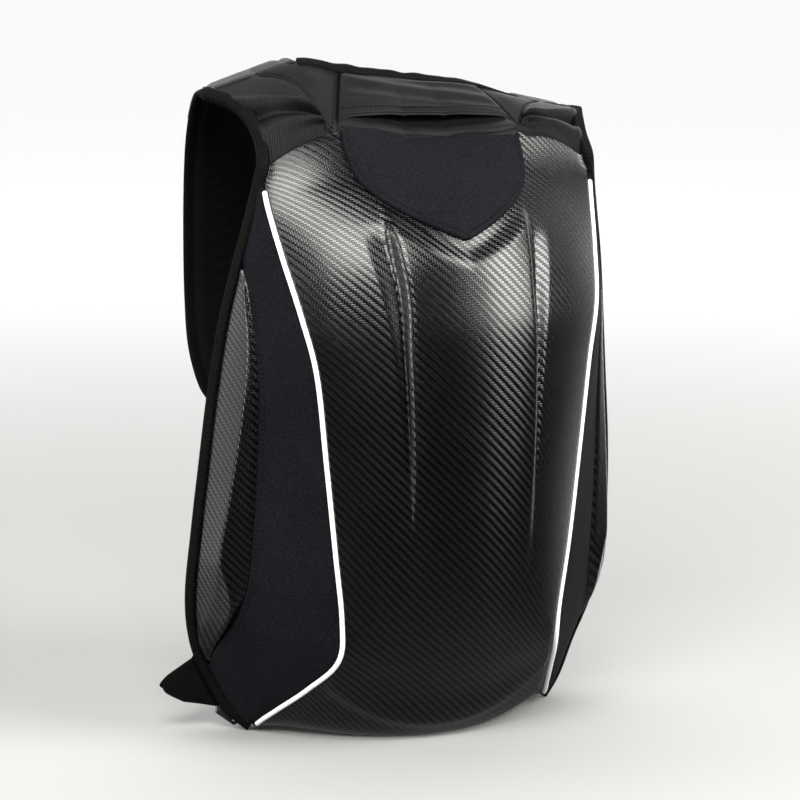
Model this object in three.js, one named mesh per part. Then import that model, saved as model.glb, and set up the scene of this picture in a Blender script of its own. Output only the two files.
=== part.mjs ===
// A hard-shell motorcycle backpack that stands on its underside.
// Millimetres, +Z up. The moulded shell faces -Y and the wearer's side +Y.
// The tables count X from the middle plane, Y from the lower back corners and Z from the floor.
import * as THREE from 'three';

// Driving dimensions
const SHELL_WALL = 2.5;
const NEOPRENE_WALL = 2;
const PANEL_WALL = 2.5;
const YOKE_WALL = 5;
const HANDLE_WALL = 2.5;
const TAB_WALL = 1.6;
const BACK_PAD = 12;
const BACK_PAD_EDGE = 7;
const BACK_PAD_BOW = 8;
const PIPING_RADIUS = 1.8;
const BINDING_HALF = 2.8;
const SEAM_GAP = 0.4;
const PANEL_GAP = 0.8;
const EDGE_SETBACK = BINDING_HALF * 1.16 + SEAM_GAP;
const PIPING_SETBACK = 2.9;
const PATCH_LIFT = 1;
const SIDE_SWELL = 3;
const PLATEAU_RISE = 4;
const CROWN_POWER = 2.1;
const SEAM_ARCH = 12;
const PAD_FLARE_HEIGHT = 160;
const HANDLE_LIFT = 9;
const WEBBING_WIDTH = 22;
const WEBBING_THICK = 1.8;

// A table with named columns: each row becomes an object
function table(columns, rows) {
  const names = columns.split(' ');
  return rows.map((row) => Object.fromEntries(names.map((name, i) => [name, row[i]])));
}

// Shell sections from the top seam down the front and under to the back: seam edge and middle line
const SHELL = table('edgeX edgeY edgeZ midY midZ', [
  [128, -52, 423, -49, 437],
  [127, -58, 398, -88, 409],
  [122, -75, 361, -119, 371],
  [115, -93, 321, -133, 330],
  [106, -100, 279, -139, 284],
  [99, -100, 215, -141, 218],
  [92, -99, 150, -139, 152],
  [86, -96, 100, -130, 106],
  [86, -89, 70, -114, 74],
  [97, -58, 44, -90, 38],
  [109, -27, 24, -66, 5],
  [115, -12, 13, -40, -5],
  [119, 0, 4, 4.4, -5],
]);

// Back edge of the pack from the top corner down to the lower corner
const BACK_EDGE = table('x y z', [
  [128, -52, 423],
  [135, -46, 386],
  [143, -38, 348],
  [150, -29, 307],
  [156, -22, 257],
  [161, -17, 207],
  [164.5, -10.5, 162],
  [167, -1, 108],
  [160, 11, 70],
  [149, 14, 43],
  [135, 9, 17],
  [120, 1, 3.2],
]);

// The groove beside the raised middle of the shell: its place, half width and depth by height
const GROOVE = table('z x half depth', [
  [384, 63, 10, 0],
  [368, 61, 10, 5.5],
  [335, 56.5, 8, 6],
  [300, 54, 5, 5],
  [262, 51.5, 3.5, 4],
  [225, 49.5, 2.5, 2.6],
  [185, 48, 2, 1],
  [150, 47, 2, 0],
]);

// The top seam arches up most at this share of the half width, over this share to each side and this far down
const ARCH = { at: 0.54, reach: 0.4, depth: 0.9 };

// Below the brow the raised middle comes up over a short run, and it fades out above the chin
const BROW = { start: 3, run: 18 };
const CHIN_FADE = { start: 110, run: 130 };
const LIP_RUN = 12;

// The shield patch: its half width at places along the shell sections
const PATCH = table('place half', [
  [0.03, 68],
  [0.42, 69],
  [0.82, 65],
  [1.22, 54],
  [1.62, 32],
  [1.97, 3],
]);

// Lower edge of the patch as a height at each half width, which the brow follows
const BROW_LINE = table('x z', [
  [0, 371],
  [31, 384],
  [54, 401],
  [65, 417],
  [69, 432],
  [90, 470],
]);

// How far down the side each piece runs, as shares of the seam and of the back edge
const GUSSET_SPAN = { from: 0.06, to: 0.935 };
const PANEL_SPAN = { from: 0.185, to: 0.825 };
const PIPING_SPAN = { from: 0.04, to: 0.975 };

// The seam between gusset and side panel, and the ridge that creases the panel
const SIDE_SEAM = table('share depth ridge rise', [
  [0.16, 0.9, 0.2, 0],
  [0.2, 0.73, 0.2, 0.5],
  [0.27, 0.61, 0.2, 1.5],
  [0.38, 0.56, 0.25, 3.5],
  [0.52, 0.57, 0.36, 6],
  [0.66, 0.63, 0.44, 7.5],
  [0.75, 0.75, 0.46, 3],
  [0.8, 0.84, 0.5, 1],
  [0.845, 0.93, 0.5, 0],
]);

// Ribs of the yoke from the left arm hole to the right one: foot on the shell seam, top, and bow between
const YOKE = table('footX topX topY topZ bowX bowZ', [
  [-128, -151, 8, 468, 11, 9],
  [-108, -118, 1, 481, 5, 9],
  [-88, -84, -6, 493, 0, 7],
  [-70, -51, -8, 488, 0, 3],
  [0, 0, -8, 481, 0, 2],
  [70, 51, -8, 475, 0, 3],
  [88, 90, -6, 464, 0, 7],
  [108, 120, 1, 459, -5, 8],
  [128, 149, 8, 455, -9, 8],
]);
const LEFT_ARM = 0;
const LEFT_NECK = 2;
const LEFT_HANDLE = 3;
const RIGHT_HANDLE = 5;
const RIGHT_NECK = 6;
const RIGHT_ARM = 8;
const RIDGE_SEAM_SHIFT = 1.85;
const YOKE_FOOT = 0.016;
const YOKE_INNER_FOOT = 0.06;
const YOKE_SEAM = 0.03;
const HANDLE_FOOT = 0.16;
const HANDLE_ARC = 0.16;
const ARM_TAPE_TOP = 0.94;
const ARM_TAPE_SHARE = 0.16;

// Padded straps from the shoulder over and down to the adjuster: outer edge, inner edge, thickness
const STRAP_GAP = 1;
const STRAP_LEAD = 7;
const STRAP_COLUMNS = 'outX outY outZ inX inY inZ thick';
const STRAP_OVER = {
  left: [
    [149, 34, 463, 81, 22, 492, 9],
    [146, 58, 440, 78, 58, 472, 10],
  ],
  right: [
    [147, 34, 450, 86, 22, 464, 9],
    [146, 58, 430, 79, 58, 452, 10],
  ],
};
const STRAP_DOWN = [
  [143, 74, 405, 76, 80, 438, 10],
  [142, 80, 360, 74, 88, 384, 10],
  [143, 76, 315, 76, 84, 328, 10],
  [146, 60, 282, 84, 66, 282, 10],
  [145, 40, 256, 101, 44, 250, 8],
  [138, 28, 241.2, 110, 30, 240.6, 5],
];

// Middle line of the webbing from the adjuster down and forward into the anchor tab
const WEBBING_COLUMNS = 'x y z';
const WEBBING_TOP = [
  [124, 33, 236],
  [124, 35, 205],
];
const WEBBING_DOWN = {
  left: [
    [127, 42, 150],
    [136, 50, 90],
    [149, 50.5, 52],
    [157, 44, 27],
    [158.5, 33, 17],
    [160, 25.9, 20],
    [162, 24.4, 26.5],
  ],
  right: [
    [124, 42, 150],
    [122, 48, 90],
    [121, 50, 50],
    [120, 44, 25],
    [119.5, 37, 17.5],
    [119, 30.8, 20],
    [119, 29.3, 26.5],
  ],
};

// Anchor tabs: fold line and free edge, each from the seam to the tip, and the lean of the webbing in them.
// The left one stands out beside the pack and the right one is folded in behind it.
const TAB_MOUTH = 9;
const TAB_REAR_LENGTH = 0.62;
const TAB = {
  left: {
    foldRoot: new THREE.Vector3(153, 21.5, 58),
    foldTip: new THREE.Vector3(185, 24.5, 38),
    edgeRoot: new THREE.Vector3(135.5, 22, 15),
    edgeTip: new THREE.Vector3(176, 25.5, 24),
    lean: 0.35,
  },
  right: {
    foldRoot: new THREE.Vector3(150, 28.4, 58),
    foldTip: new THREE.Vector3(122, 32.4, 42),
    edgeRoot: new THREE.Vector3(131, 25.9, 15),
    edgeTip: new THREE.Vector3(106, 30.9, 26),
    lean: 0,
  },
};

// Adjuster and zip slider plates
const LOCK = { width: 34, height: 26, thick: 5, slot: 26, slotHeight: 4, slotStep: 5.5, corner: 4 };
const LOCK_PLACE = new THREE.Vector3(124, 29, 225.5);
const SLIDER = { length: 20, height: 8, thick: 3.6, corner: 3, eye: 1.8 };
const SLIDER_PLACE = new THREE.Vector3(-134, 14.4, 10.2);
const SLIDER_TURN = 0.66;

// Smooth helpers
const clamp01 = (value) => Math.min(Math.max(value, 0), 1);
const ease = (value) => clamp01(value) ** 2 * (3 - 2 * clamp01(value));
const mix = (a, b, share) => a + (b - a) * share;

// The row at a fractional place in a table, on a smooth curve through its rows
function rowAt(rows, place) {
  const last = rows.length - 1;
  const i = Math.min(Math.max(Math.floor(place), 0), last - 1);
  const f = place - i;
  const near = [i - 1, i, i + 1, i + 2].map((k) => rows[Math.min(Math.max(k, 0), last)]);
  const mixed = {};
  for (const name of Object.keys(rows[0])) {
    const [a, b, c, d] = near.map((row) => row[name]);
    mixed[name] = b + 0.5 * f * (c - a + f * (2 * a - 5 * b + 4 * c - d + f * (3 * (b - c) + d - a)));
  }
  return mixed;
}

// The row of a table at a value of its first column, which may rise or fall down the table
function rowBy(rows, name, value) {
  const falls = rows[0][name] > rows[1][name];
  const passed = rows.findIndex((row) => (falls ? row[name] <= value : row[name] >= value));
  if (passed === 0) return rows[0];
  if (passed < 0) return rows[rows.length - 1];
  const before = rows[passed - 1];
  return rowAt(rows, passed - 1 + (value - before[name]) / (rows[passed][name] - before[name]));
}

// A curve through three columns of a table
class TableLine extends THREE.Curve {
  constructor(rows, names = ['x', 'y', 'z']) {
    super();
    this.rows = rows;
    this.names = names;
  }

  getPoint(share) {
    const row = rowAt(this.rows, share * (this.rows.length - 1));
    return new THREE.Vector3(...this.names.map((name) => row[name]));
  }
}

// A closed solid from points and triangles, with its faces turned outward
function solid(points, triangles) {
  const cross = new THREE.Vector3();
  let volume = 0;
  for (const [a, b, c] of triangles) volume += points[a].dot(cross.crossVectors(points[b], points[c]));
  const geometry = new THREE.BufferGeometry().setFromPoints(points);
  geometry.setIndex(triangles.flatMap(([a, b, c]) => (volume > 0 ? [a, b, c] : [a, c, b])));
  geometry.computeVertexNormals();
  return geometry;
}

// A sheet with a wall: layerAt gives a point by its place over and along the sheet, on the face at depth 0
// and on the lining side at depth 1, and a rim joins the two layers
function sheet({ across, along, layerAt }) {
  const points = [];
  for (const depth of [0, 1]) {
    for (let j = 0; j <= along; j += 1) {
      for (let i = 0; i <= across; i += 1) points.push(layerAt(i / across, j / along, depth));
    }
  }
  const triangles = [];
  const quad = (a, b, c, d) => triangles.push([a, b, c], [a, c, d]);
  const at = (i, j) => j * (across + 1) + i;
  const deep = points.length / 2;
  for (let j = 0; j < along; j += 1) {
    for (let i = 0; i < across; i += 1) {
      const [a, b, c, d] = [at(i, j), at(i + 1, j), at(i + 1, j + 1), at(i, j + 1)];
      quad(a, b, c, d);
      quad(deep + d, deep + c, deep + b, deep + a);
    }
  }
  const rim = [];
  for (let i = 0; i < across; i += 1) rim.push(at(i, 0));
  for (let j = 0; j < along; j += 1) rim.push(at(across, j));
  for (let i = across; i > 0; i -= 1) rim.push(at(i, along));
  for (let j = along; j > 0; j -= 1) rim.push(at(0, j));
  rim.forEach((a, k) => {
    const b = rim[(k + 1) % rim.length];
    quad(b, a, deep + a, deep + b);
  });
  return solid(points, triangles);
}

// A closed solid through rings of equally many points, capped at both ends
function loft(rings) {
  const count = rings[0].length;
  const triangles = [];
  for (let j = 0; j + 1 < rings.length; j += 1) {
    for (let i = 0; i < count; i += 1) {
      const [a, b] = [j * count + i, j * count + ((i + 1) % count)];
      triangles.push([a, b, b + count], [a, b + count, a + count]);
    }
  }
  const end = (rings.length - 1) * count;
  for (let i = 1; i + 1 < count; i += 1) {
    triangles.push([0, i + 1, i], [end, end + i, end + i + 1]);
  }
  return solid(rings.flat(), triangles);
}

// A tape with cut corners along a curve: half its width across, half its thickness through
const CUT = Math.tan(Math.PI / 8);
const CUT_CORNERS = [[-1, -CUT], [-CUT, -1], [CUT, -1], [1, -CUT], [1, CUT], [CUT, 1], [-CUT, 1], [-1, CUT]];
function tape({ steps, pointAt, acrossAt, halfWidth, halfThick }) {
  const rings = [];
  for (let k = 0; k <= steps; k += 1) {
    const share = k / steps;
    const ahead = pointAt(Math.min(share + 0.5 / steps, 1)).sub(pointAt(Math.max(share - 0.5 / steps, 0)));
    const through = ahead.clone().cross(acrossAt(share)).normalize();
    const over = through.clone().cross(ahead).normalize();
    rings.push(CUT_CORNERS.map(([a, b]) => pointAt(share)
      .addScaledVector(over, a * halfWidth)
      .addScaledVector(through, b * halfThick)));
  }
  return loft(rings);
}

// Shell surface

// How far the shell stands proud of its plain section: raised middle below the brow, less the grooves
function shellRelief(x, z) {
  const groove = rowBy(GROOVE, 'z', z);
  const off = Math.abs(x);
  const patch = rowBy(BROW_LINE, 'x', off);
  const below = ease((patch.z - z - BROW.start) / BROW.run) * ease((z - CHIN_FADE.start) / CHIN_FADE.run);
  const raised = 1 - ease((off - groove.x + groove.half + LIP_RUN / 2) / LIP_RUN);
  const dip = Math.max(0, 1 - Math.abs(off - groove.x) / groove.half);
  const inGroove = z < GROOVE[0].z ? groove.depth * dip : 0;
  return PLATEAU_RISE * below * raised - inGroove;
}

// A point of the shell at a place along its sections and a distance from the middle plane
function shellPlain(place, x) {
  const row = rowAt(SHELL, place);
  const off = Math.abs(x) / row.edgeX;
  const crown = 1 - off ** CROWN_POWER;
  const arch = SEAM_ARCH * ease(1 - place / ARCH.depth) * Math.max(0, 1 - ((off - ARCH.at) / ARCH.reach) ** 2);
  const y = mix(row.edgeY, row.midY, crown);
  const z = mix(row.edgeZ, row.midZ, crown) + arch;
  return new THREE.Vector3(x, y, Math.max(z, 0));
}

// The outward direction of the plain shell
function shellOut(place, x) {
  const step = 0.02;
  const last = SHELL.length - 1;
  const down = shellPlain(Math.min(place + step, last), x).sub(shellPlain(Math.max(place - step, 0), x));
  const over = shellPlain(place, x + 1).sub(shellPlain(place, x - 1));
  return down.cross(over).normalize();
}

function shellPoint(place, x, proud = 0) {
  const point = shellPlain(place, x);
  const relief = point.z > 1 ? shellRelief(x, point.z) : 0;
  return point.addScaledVector(shellOut(place, x), relief + proud);
}

// Columns of the shell's grid on one side: the middle, the groove's lips and bottom, then the flank
const SHELL_COLUMNS = 11;
const LIP_COLUMN = 4;
const FLANK_COLUMN = 6;
function shellColumn(k, place) {
  const row = rowAt(SHELL, place);
  const groove = rowBy(GROOVE, 'z', mix(row.edgeZ, row.midZ, 0.75));
  const slope = CROWN_POWER * Math.hypot(row.midY - row.edgeY, row.midZ - row.edgeZ);
  const corner = 4.5 * ease(1 - place / 0.8);
  const rim = row.edgeX * (1 - PIPING_SETBACK / Math.hypot(row.edgeX, slope)) - corner;
  const inner = groove.x - groove.half;
  const outer = groove.x + groove.half;
  if (k <= LIP_COLUMN) return (inner * k) / LIP_COLUMN;
  if (k <= FLANK_COLUMN) return mix(inner, outer, (k - LIP_COLUMN) / (FLANK_COLUMN - LIP_COLUMN));
  return mix(outer, rim, (k - FLANK_COLUMN) / (SHELL_COLUMNS - FLANK_COLUMN));
}

function frontShell() {
  const last = SHELL.length - 1;
  return sheet({
    across: 2 * SHELL_COLUMNS,
    along: 27,
    layerAt: (over, down, depth) => {
      const k = Math.round((2 * over - 1) * SHELL_COLUMNS);
      const x = Math.sign(k) * shellColumn(Math.abs(k), down * last);
      return shellPoint(down * last, x, -depth * SHELL_WALL);
    },
  });
}

function crestPatch() {
  return sheet({
    across: 10,
    along: 9,
    layerAt: (over, down, depth) => {
      const row = rowAt(PATCH, down * (PATCH.length - 1));
      const proud = PATCH_LIFT + (1 - depth) * NEOPRENE_WALL;
      return shellPoint(row.place, row.half * (2 * over - 1), proud);
    },
  });
}

// Side of the pack, between the piping seam and the back edge
const seamLine = new TableLine(SHELL, ['edgeX', 'edgeY', 'edgeZ']);
const backLine = new TableLine(BACK_EDGE);

// A point of the side: share of the way down, depth from the piping to the back edge, rise outward
function sidePoint(side, share, depth, rise = 0) {
  const front = seamLine.getPointAt(share);
  const back = backLine.getPointAt(share);
  const down = seamLine.getTangentAt(share).add(backLine.getTangentAt(share));
  const out = down.cross(back.clone().sub(front)).normalize();
  const point = front.lerp(back, depth);
  point.addScaledVector(out, rise + SIDE_SWELL * 4 * depth * (1 - depth));
  point.x *= side;
  return point;
}

const sideWidth = (share) => seamLine.getPointAt(share).distanceTo(backLine.getPointAt(share));

// The depth at which the side stops short of the binding, squarely from the back edge
function bindingDepth(share) {
  const across = backLine.getPointAt(share).sub(seamLine.getPointAt(share));
  return 1 - EDGE_SETBACK / across.cross(backLine.getTangentAt(share)).length();
}

// The gusset's rear limit: the panel seam, or the binding above and below the panel
function gussetEnd(share) {
  const binding = bindingDepth(share);
  const first = SIDE_SEAM[0].share;
  const last = SIDE_SEAM[SIDE_SEAM.length - 1].share;
  if (share < first || share > last) return binding;
  return Math.min(binding, rowBy(SIDE_SEAM, 'share', share).depth - PANEL_GAP / 2 / sideWidth(share));
}

function sideGusset(side) {
  return sheet({
    across: 5,
    along: 22,
    layerAt: (over, down, depth) => {
      const share = mix(GUSSET_SPAN.from, GUSSET_SPAN.to, down);
      const start = (PIPING_SETBACK + SEAM_GAP) / sideWidth(share);
      return sidePoint(side, share, mix(start, gussetEnd(share), over), -depth * NEOPRENE_WALL);
    },
  });
}

// The moulded panel stands proud along its ridge and falls to the seam and the binding
function sidePanel(side) {
  return sheet({
    across: 6,
    along: 16,
    layerAt: (over, down, depth) => {
      const share = mix(PANEL_SPAN.from, PANEL_SPAN.to, down);
      const row = rowBy(SIDE_SEAM, 'share', share);
      const start = row.depth + PANEL_GAP / 2 / sideWidth(share);
      const end = bindingDepth(share);
      const fall = over < row.ridge ? over / row.ridge : (1 - over) / (1 - row.ridge);
      return sidePoint(side, share, mix(start, end, over), row.rise * fall - depth * PANEL_WALL);
    },
  });
}

// Piping: a round cord in the seam, from below the top corner to the underside
function piping(side) {
  const points = [];
  const count = 24;
  for (let k = 0; k <= count; k += 1) {
    const point = seamLine.getPointAt(mix(PIPING_SPAN.from, PIPING_SPAN.to, k / count));
    points.push(point.multiply(new THREE.Vector3(side, 1, 1)));
  }
  const round = new THREE.Shape().absarc(0, 0, PIPING_RADIUS, 0, 2 * Math.PI);
  return new THREE.ExtrudeGeometry(round, {
    steps: 30,
    curveSegments: 4,
    bevelEnabled: false,
    extrudePath: new THREE.CatmullRomCurve3(points),
  });
}

// Yoke over the top of the pack, from the shell seam to the neck and shoulders

function yokePlain(rib, rise) {
  const row = rowAt(YOKE, rib);
  const bow = 4 * rise * (1 - rise);
  const foot = shellPlain(0, row.footX);
  const point = foot.lerp(new THREE.Vector3(row.topX, row.topY, row.topZ), rise);
  return point.add(new THREE.Vector3(row.bowX * bow, 0, row.bowZ * bow));
}

function yokeOut(rib, rise) {
  const step = 0.02;
  const [near, far] = [Math.max(rib - step, LEFT_ARM), Math.min(rib + step, RIGHT_ARM)];
  const over = yokePlain(far, rise).sub(yokePlain(near, rise));
  const up = yokePlain(rib, rise + step).sub(yokePlain(rib, rise - step));
  return over.cross(up).normalize();
}

const yokePoint = (rib, rise, proud = 0) => yokePlain(rib, rise).addScaledVector(yokeOut(rib, rise), proud);

// Ribs are counted from the left arm hole, or from the right one for the right side
const ribOnSide = (side, rib) => (side < 0 ? rib : RIGHT_ARM - rib);

// A gap of some millimetres as a share of the rib there
const ribShare = (rib, gap) => gap / yokePlain(rib, 0).distanceTo(yokePlain(rib, 1));

// The setback of a panel from the arm hole, as a share of the step to the next rib
function armSetback(side, rise) {
  const arm = ribOnSide(side, LEFT_ARM);
  const tangent = yokePlain(arm, rise + 0.02).sub(yokePlain(arm, rise - 0.02)).normalize();
  const step = yokePlain(ribOnSide(side, LEFT_ARM + 0.25), rise).sub(yokePlain(arm, rise));
  return (0.25 * EDGE_SETBACK) / step.cross(tangent).length();
}

// The slanted seam between outer and inner panel runs from the handle's foot to the shoulder ridge
const innerSeam = (rise) => LEFT_HANDLE - RIDGE_SEAM_SHIFT * rise ** 0.9;

// How high a panel reaches: to the shoulder, or to the tape along the neck
function yokeTop(rib) {
  const fromArm = Math.min(rib, RIGHT_ARM - rib);
  return 1 - ribShare(rib, fromArm < LEFT_NECK - 0.1 ? SEAM_GAP : EDGE_SETBACK + 2 * SEAM_GAP);
}

function yokeOuter(side) {
  const top = yokeTop(ribOnSide(side, LEFT_ARM));
  return sheet({
    across: 7,
    along: 6,
    layerAt: (over, up, depth) => {
      const rise = mix(YOKE_FOOT, top, up);
      const rib = mix(armSetback(side, rise), innerSeam(rise) - YOKE_SEAM, over);
      return yokePoint(ribOnSide(side, rib), rise, -depth * YOKE_WALL);
    },
  });
}

function yokeInner(side) {
  const seamTop = yokeTop(ribOnSide(side, LEFT_ARM));
  return sheet({
    across: 6,
    along: 6,
    layerAt: (over, up, depth) => {
      const start = innerSeam(mix(YOKE_INNER_FOOT, seamTop, up)) + YOKE_SEAM;
      const rib = mix(start, LEFT_HANDLE - YOKE_SEAM, over);
      const top = over > 0 ? yokeTop(ribOnSide(side, mix(innerSeam(1), LEFT_HANDLE, over))) : seamTop;
      return yokePoint(ribOnSide(side, rib), mix(YOKE_INNER_FOOT, top, up), -depth * YOKE_WALL);
    },
  });
}

function yokeCentre() {
  return sheet({
    across: 10,
    along: 5,
    layerAt: (over, up, depth) => {
      const rib = mix(LEFT_HANDLE + YOKE_SEAM, RIGHT_HANDLE - YOKE_SEAM, over);
      return yokePoint(rib, mix(YOKE_FOOT, yokeTop(rib), up), -depth * YOKE_WALL);
    },
  });
}

// The handle lies on the yoke at both ends and stands off it between them
function grabHandle() {
  return sheet({
    across: 12,
    along: 4,
    layerAt: (over, up, depth) => {
      const free = 1 - (2 * over - 1) ** 2;
      const rib = mix(LEFT_HANDLE + 0.03, RIGHT_HANDLE - 0.03, over);
      const lift = SEAM_GAP + (1 - depth) * HANDLE_WALL + HANDLE_LIFT * free * (1 - up ** 2);
      return yokePoint(rib, mix(HANDLE_FOOT + HANDLE_ARC * free, yokeTop(rib), up), lift);
    },
  });
}

// Tapes: one along the back edge and on round the arm hole, one along the neck
function edgeBinding(side) {
  const arm = ribOnSide(side, LEFT_ARM);
  return tape({
    steps: 28,
    pointAt: (share) => {
      const rise = ARM_TAPE_TOP * (1 - share / ARM_TAPE_SHARE);
      if (rise > 0) return yokePoint(arm, rise, (-YOKE_WALL / 2) * ease(rise * 3));
      const down = (share - ARM_TAPE_SHARE) / (1 - ARM_TAPE_SHARE);
      return backLine.getPointAt(down).multiply(new THREE.Vector3(side, 1, 1));
    },
    acrossAt: () => new THREE.Vector3(0, 1, 0),
    halfWidth: BINDING_HALF,
    halfThick: BINDING_HALF,
  });
}

function neckBinding() {
  return tape({
    steps: 20,
    pointAt: (share) => yokePoint(mix(LEFT_NECK + 0.08, RIGHT_NECK - 0.08, share), 1, -YOKE_WALL / 2),
    acrossAt: (share) => yokeOut(mix(LEFT_NECK, RIGHT_NECK, share), 0.9),
    halfWidth: BINDING_HALF,
    halfThick: BINDING_HALF,
  });
}

// Padded panel on the wearer's side, thicker and bowed towards the middle
function backPanel() {
  const top = BACK_EDGE[0].z;
  const bottom = BACK_EDGE[BACK_EDGE.length - 1].z;
  return sheet({
    across: 12,
    along: 15,
    layerAt: (over, down, depth) => {
      const edge = backLine.getPointAt(down);
      const off = 2 * over - 1;
      const level = ((edge.z - bottom) * top) / (top - bottom);
      const x = (edge.x - EDGE_SETBACK - SEAM_GAP) * off;
      const seamRise = shellPlain(0, x).z - top - 5 - 3 * off ** 2;
      const bow = BACK_PAD_BOW * (1 - off ** 2) * ease(level / PAD_FLARE_HEIGHT);
      const thick = mix(BACK_PAD, BACK_PAD_EDGE, off ** 4);
      const y = edge.y + BINDING_HALF + 1 + bow + (1 - depth) * thick;
      return new THREE.Vector3(x, y, level + seamRise * (level / top) ** 4);
    },
  });
}

// Padded strap: rings across from the outer to the inner edge
const STRAP_SECTION = table('share rise', [
  [0, 0.25],
  [0.07, 0.75],
  [0.3, 1],
  [0.7, 1],
  [0.93, 0.75],
  [1, 0.25],
]);

// A ring of the strap where it leaves the yoke, in line with the yoke's wall
function leavingRing(side, gap) {
  const face = (sign) => STRAP_SECTION.map((row) => {
    const rib = ribOnSide(side, mix(LEFT_ARM, LEFT_NECK, row.share));
    return yokePoint(rib, 1 + ribShare(rib, gap), (sign * row.rise - 1) * (YOKE_WALL / 2));
  });
  return [...face(1), ...face(-1).reverse()];
}

function strapRows(side, word) {
  const [arm, neck] = [LEFT_ARM, LEFT_NECK].map((rib) => ribOnSide(side, rib));
  const outer = yokePoint(arm, 1 + ribShare(arm, STRAP_LEAD), -YOKE_WALL / 2);
  const inner = yokePoint(neck, 1 + ribShare(neck, STRAP_LEAD), -YOKE_WALL / 2);
  const leaving = [Math.abs(outer.x), outer.y, outer.z, Math.abs(inner.x), inner.y, inner.z, YOKE_WALL];
  return table(STRAP_COLUMNS, [leaving, ...STRAP_OVER[word], ...STRAP_DOWN]);
}

function shoulderStrap(side, word) {
  const rows = strapRows(side, word);
  const outer = new TableLine(rows, ['outX', 'outY', 'outZ']);
  const inner = new TableLine(rows, ['inX', 'inY', 'inZ']);
  const steps = 20;
  const rings = [leavingRing(side, STRAP_GAP), leavingRing(side, STRAP_LEAD)];
  for (let k = 1; k <= steps; k += 1) {
    const share = k / steps;
    const from = outer.getPoint(share);
    const over = inner.getPoint(share).sub(from);
    const through = outer.getTangent(share).add(inner.getTangent(share)).cross(over).normalize();
    const half = rowAt(rows, share * (rows.length - 1)).thick / 2;
    const face = (sign) => STRAP_SECTION.map((row) => from.clone()
      .addScaledVector(over, row.share)
      .addScaledVector(through, sign * half * row.rise));
    const ring = [...face(1), ...face(-1).reverse()];
    rings.push(ring.map((point) => point.setX(side * point.x)));
  }
  return loft(rings);
}

function strapWebbing(side, word) {
  const route = new TableLine(table(WEBBING_COLUMNS, [...WEBBING_TOP, ...WEBBING_DOWN[word]]));
  return tape({
    steps: 16,
    pointAt: (share) => route.getPointAt(share).multiply(new THREE.Vector3(side, 1, 1)),
    acrossAt: (share) => new THREE.Vector3(1, 0, -side * TAB[word].lean * ease((share - 0.6) / 0.3)),
    halfWidth: WEBBING_WIDTH / 2,
    halfThick: WEBBING_THICK / 2,
  });
}

// Anchor tab: one piece of nylon folded over, with its rear layer shorter, open along its lower edge
function anchorTab(side, word) {
  const tab = TAB[word];
  const foldShift = TAB_WALL / tab.foldRoot.distanceTo(tab.edgeRoot);
  return sheet({
    across: 10,
    along: 4,
    layerAt: (over, out, depth) => {
      const turn = 2 * over - 1;
      const away = Math.abs(turn) * (turn > 0 ? TAB_REAR_LENGTH : 1);
      const fold = tab.foldRoot.clone().lerp(tab.foldTip, out);
      const edge = tab.edgeRoot.clone().lerp(tab.edgeTip, out);
      const point = fold.lerp(edge, mix(away, 1, depth * foldShift));
      const half = (TAB_MOUTH / 2) * Math.sqrt(away) * mix(0.75, 1, out);
      point.y += Math.sign(turn) * Math.max(half - depth * TAB_WALL, 0.12 * half);
      point.x *= side;
      return point;
    },
  });
}

// Plates with round corners
function roundPlate(width, height, corner) {
  const [w, h] = [width / 2, height / 2];
  const plate = new THREE.Shape();
  plate.absarc(w - corner, h - corner, corner, 0, Math.PI / 2);
  plate.absarc(corner - w, h - corner, corner, Math.PI / 2, Math.PI);
  plate.absarc(corner - w, corner - h, corner, Math.PI, 1.5 * Math.PI);
  plate.absarc(w - corner, corner - h, corner, 1.5 * Math.PI, 2 * Math.PI);
  plate.closePath();
  return plate;
}

function ladderLock() {
  const plate = roundPlate(LOCK.width, LOCK.height, LOCK.corner);
  const [w, h] = [LOCK.slot / 2, LOCK.slotHeight / 2];
  for (const middle of [-LOCK.slotStep, LOCK.slotStep]) {
    plate.holes.push(new THREE.Path([[-w, -h], [-w, h], [w, h], [w, -h]]
      .map(([x, y]) => new THREE.Vector2(x, middle + y))));
  }
  const settings = { depth: LOCK.thick, bevelEnabled: false, curveSegments: 3 };
  return new THREE.ExtrudeGeometry(plate, settings).translate(0, 0, -LOCK.thick / 2);
}

function zipSlider() {
  const plate = roundPlate(SLIDER.length, SLIDER.height, SLIDER.corner);
  const eye = new THREE.Path().absarc(SLIDER.length / 2 - SLIDER.height / 2, 0, SLIDER.eye, 0, 2 * Math.PI);
  plate.holes.push(eye);
  const settings = { depth: SLIDER.thick, bevelEnabled: false, curveSegments: 3 };
  return new THREE.ExtrudeGeometry(plate, settings).translate(0, 0, -SLIDER.thick / 2);
}

// Finishes
function finish(color, roughness, metalness = 0) {
  return new THREE.MeshStandardMaterial({ color, roughness, metalness });
}
const carbon = () => finish(0x2a2c2e, 0.32);
const neoprene = () => finish(0x1c1f24, 0.85);
const nylon = () => finish(0x1a1b1d, 0.7);
const ribbed = () => finish(0x202123, 0.65);
const grosgrain = () => finish(0x121314, 0.8);
const reflective = () => finish(0xf2f4f5, 0.4);
const lining = () => finish(0x14161a, 0.9);
const plastic = () => finish(0x101112, 0.45);

// The pack, moved so that its origin is the middle of its box on the floor
const pack = new THREE.Group();
function add(name, geometry, material) {
  const mesh = new THREE.Mesh(geometry, material);
  mesh.name = name;
  pack.add(mesh);
  return mesh;
}

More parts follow.
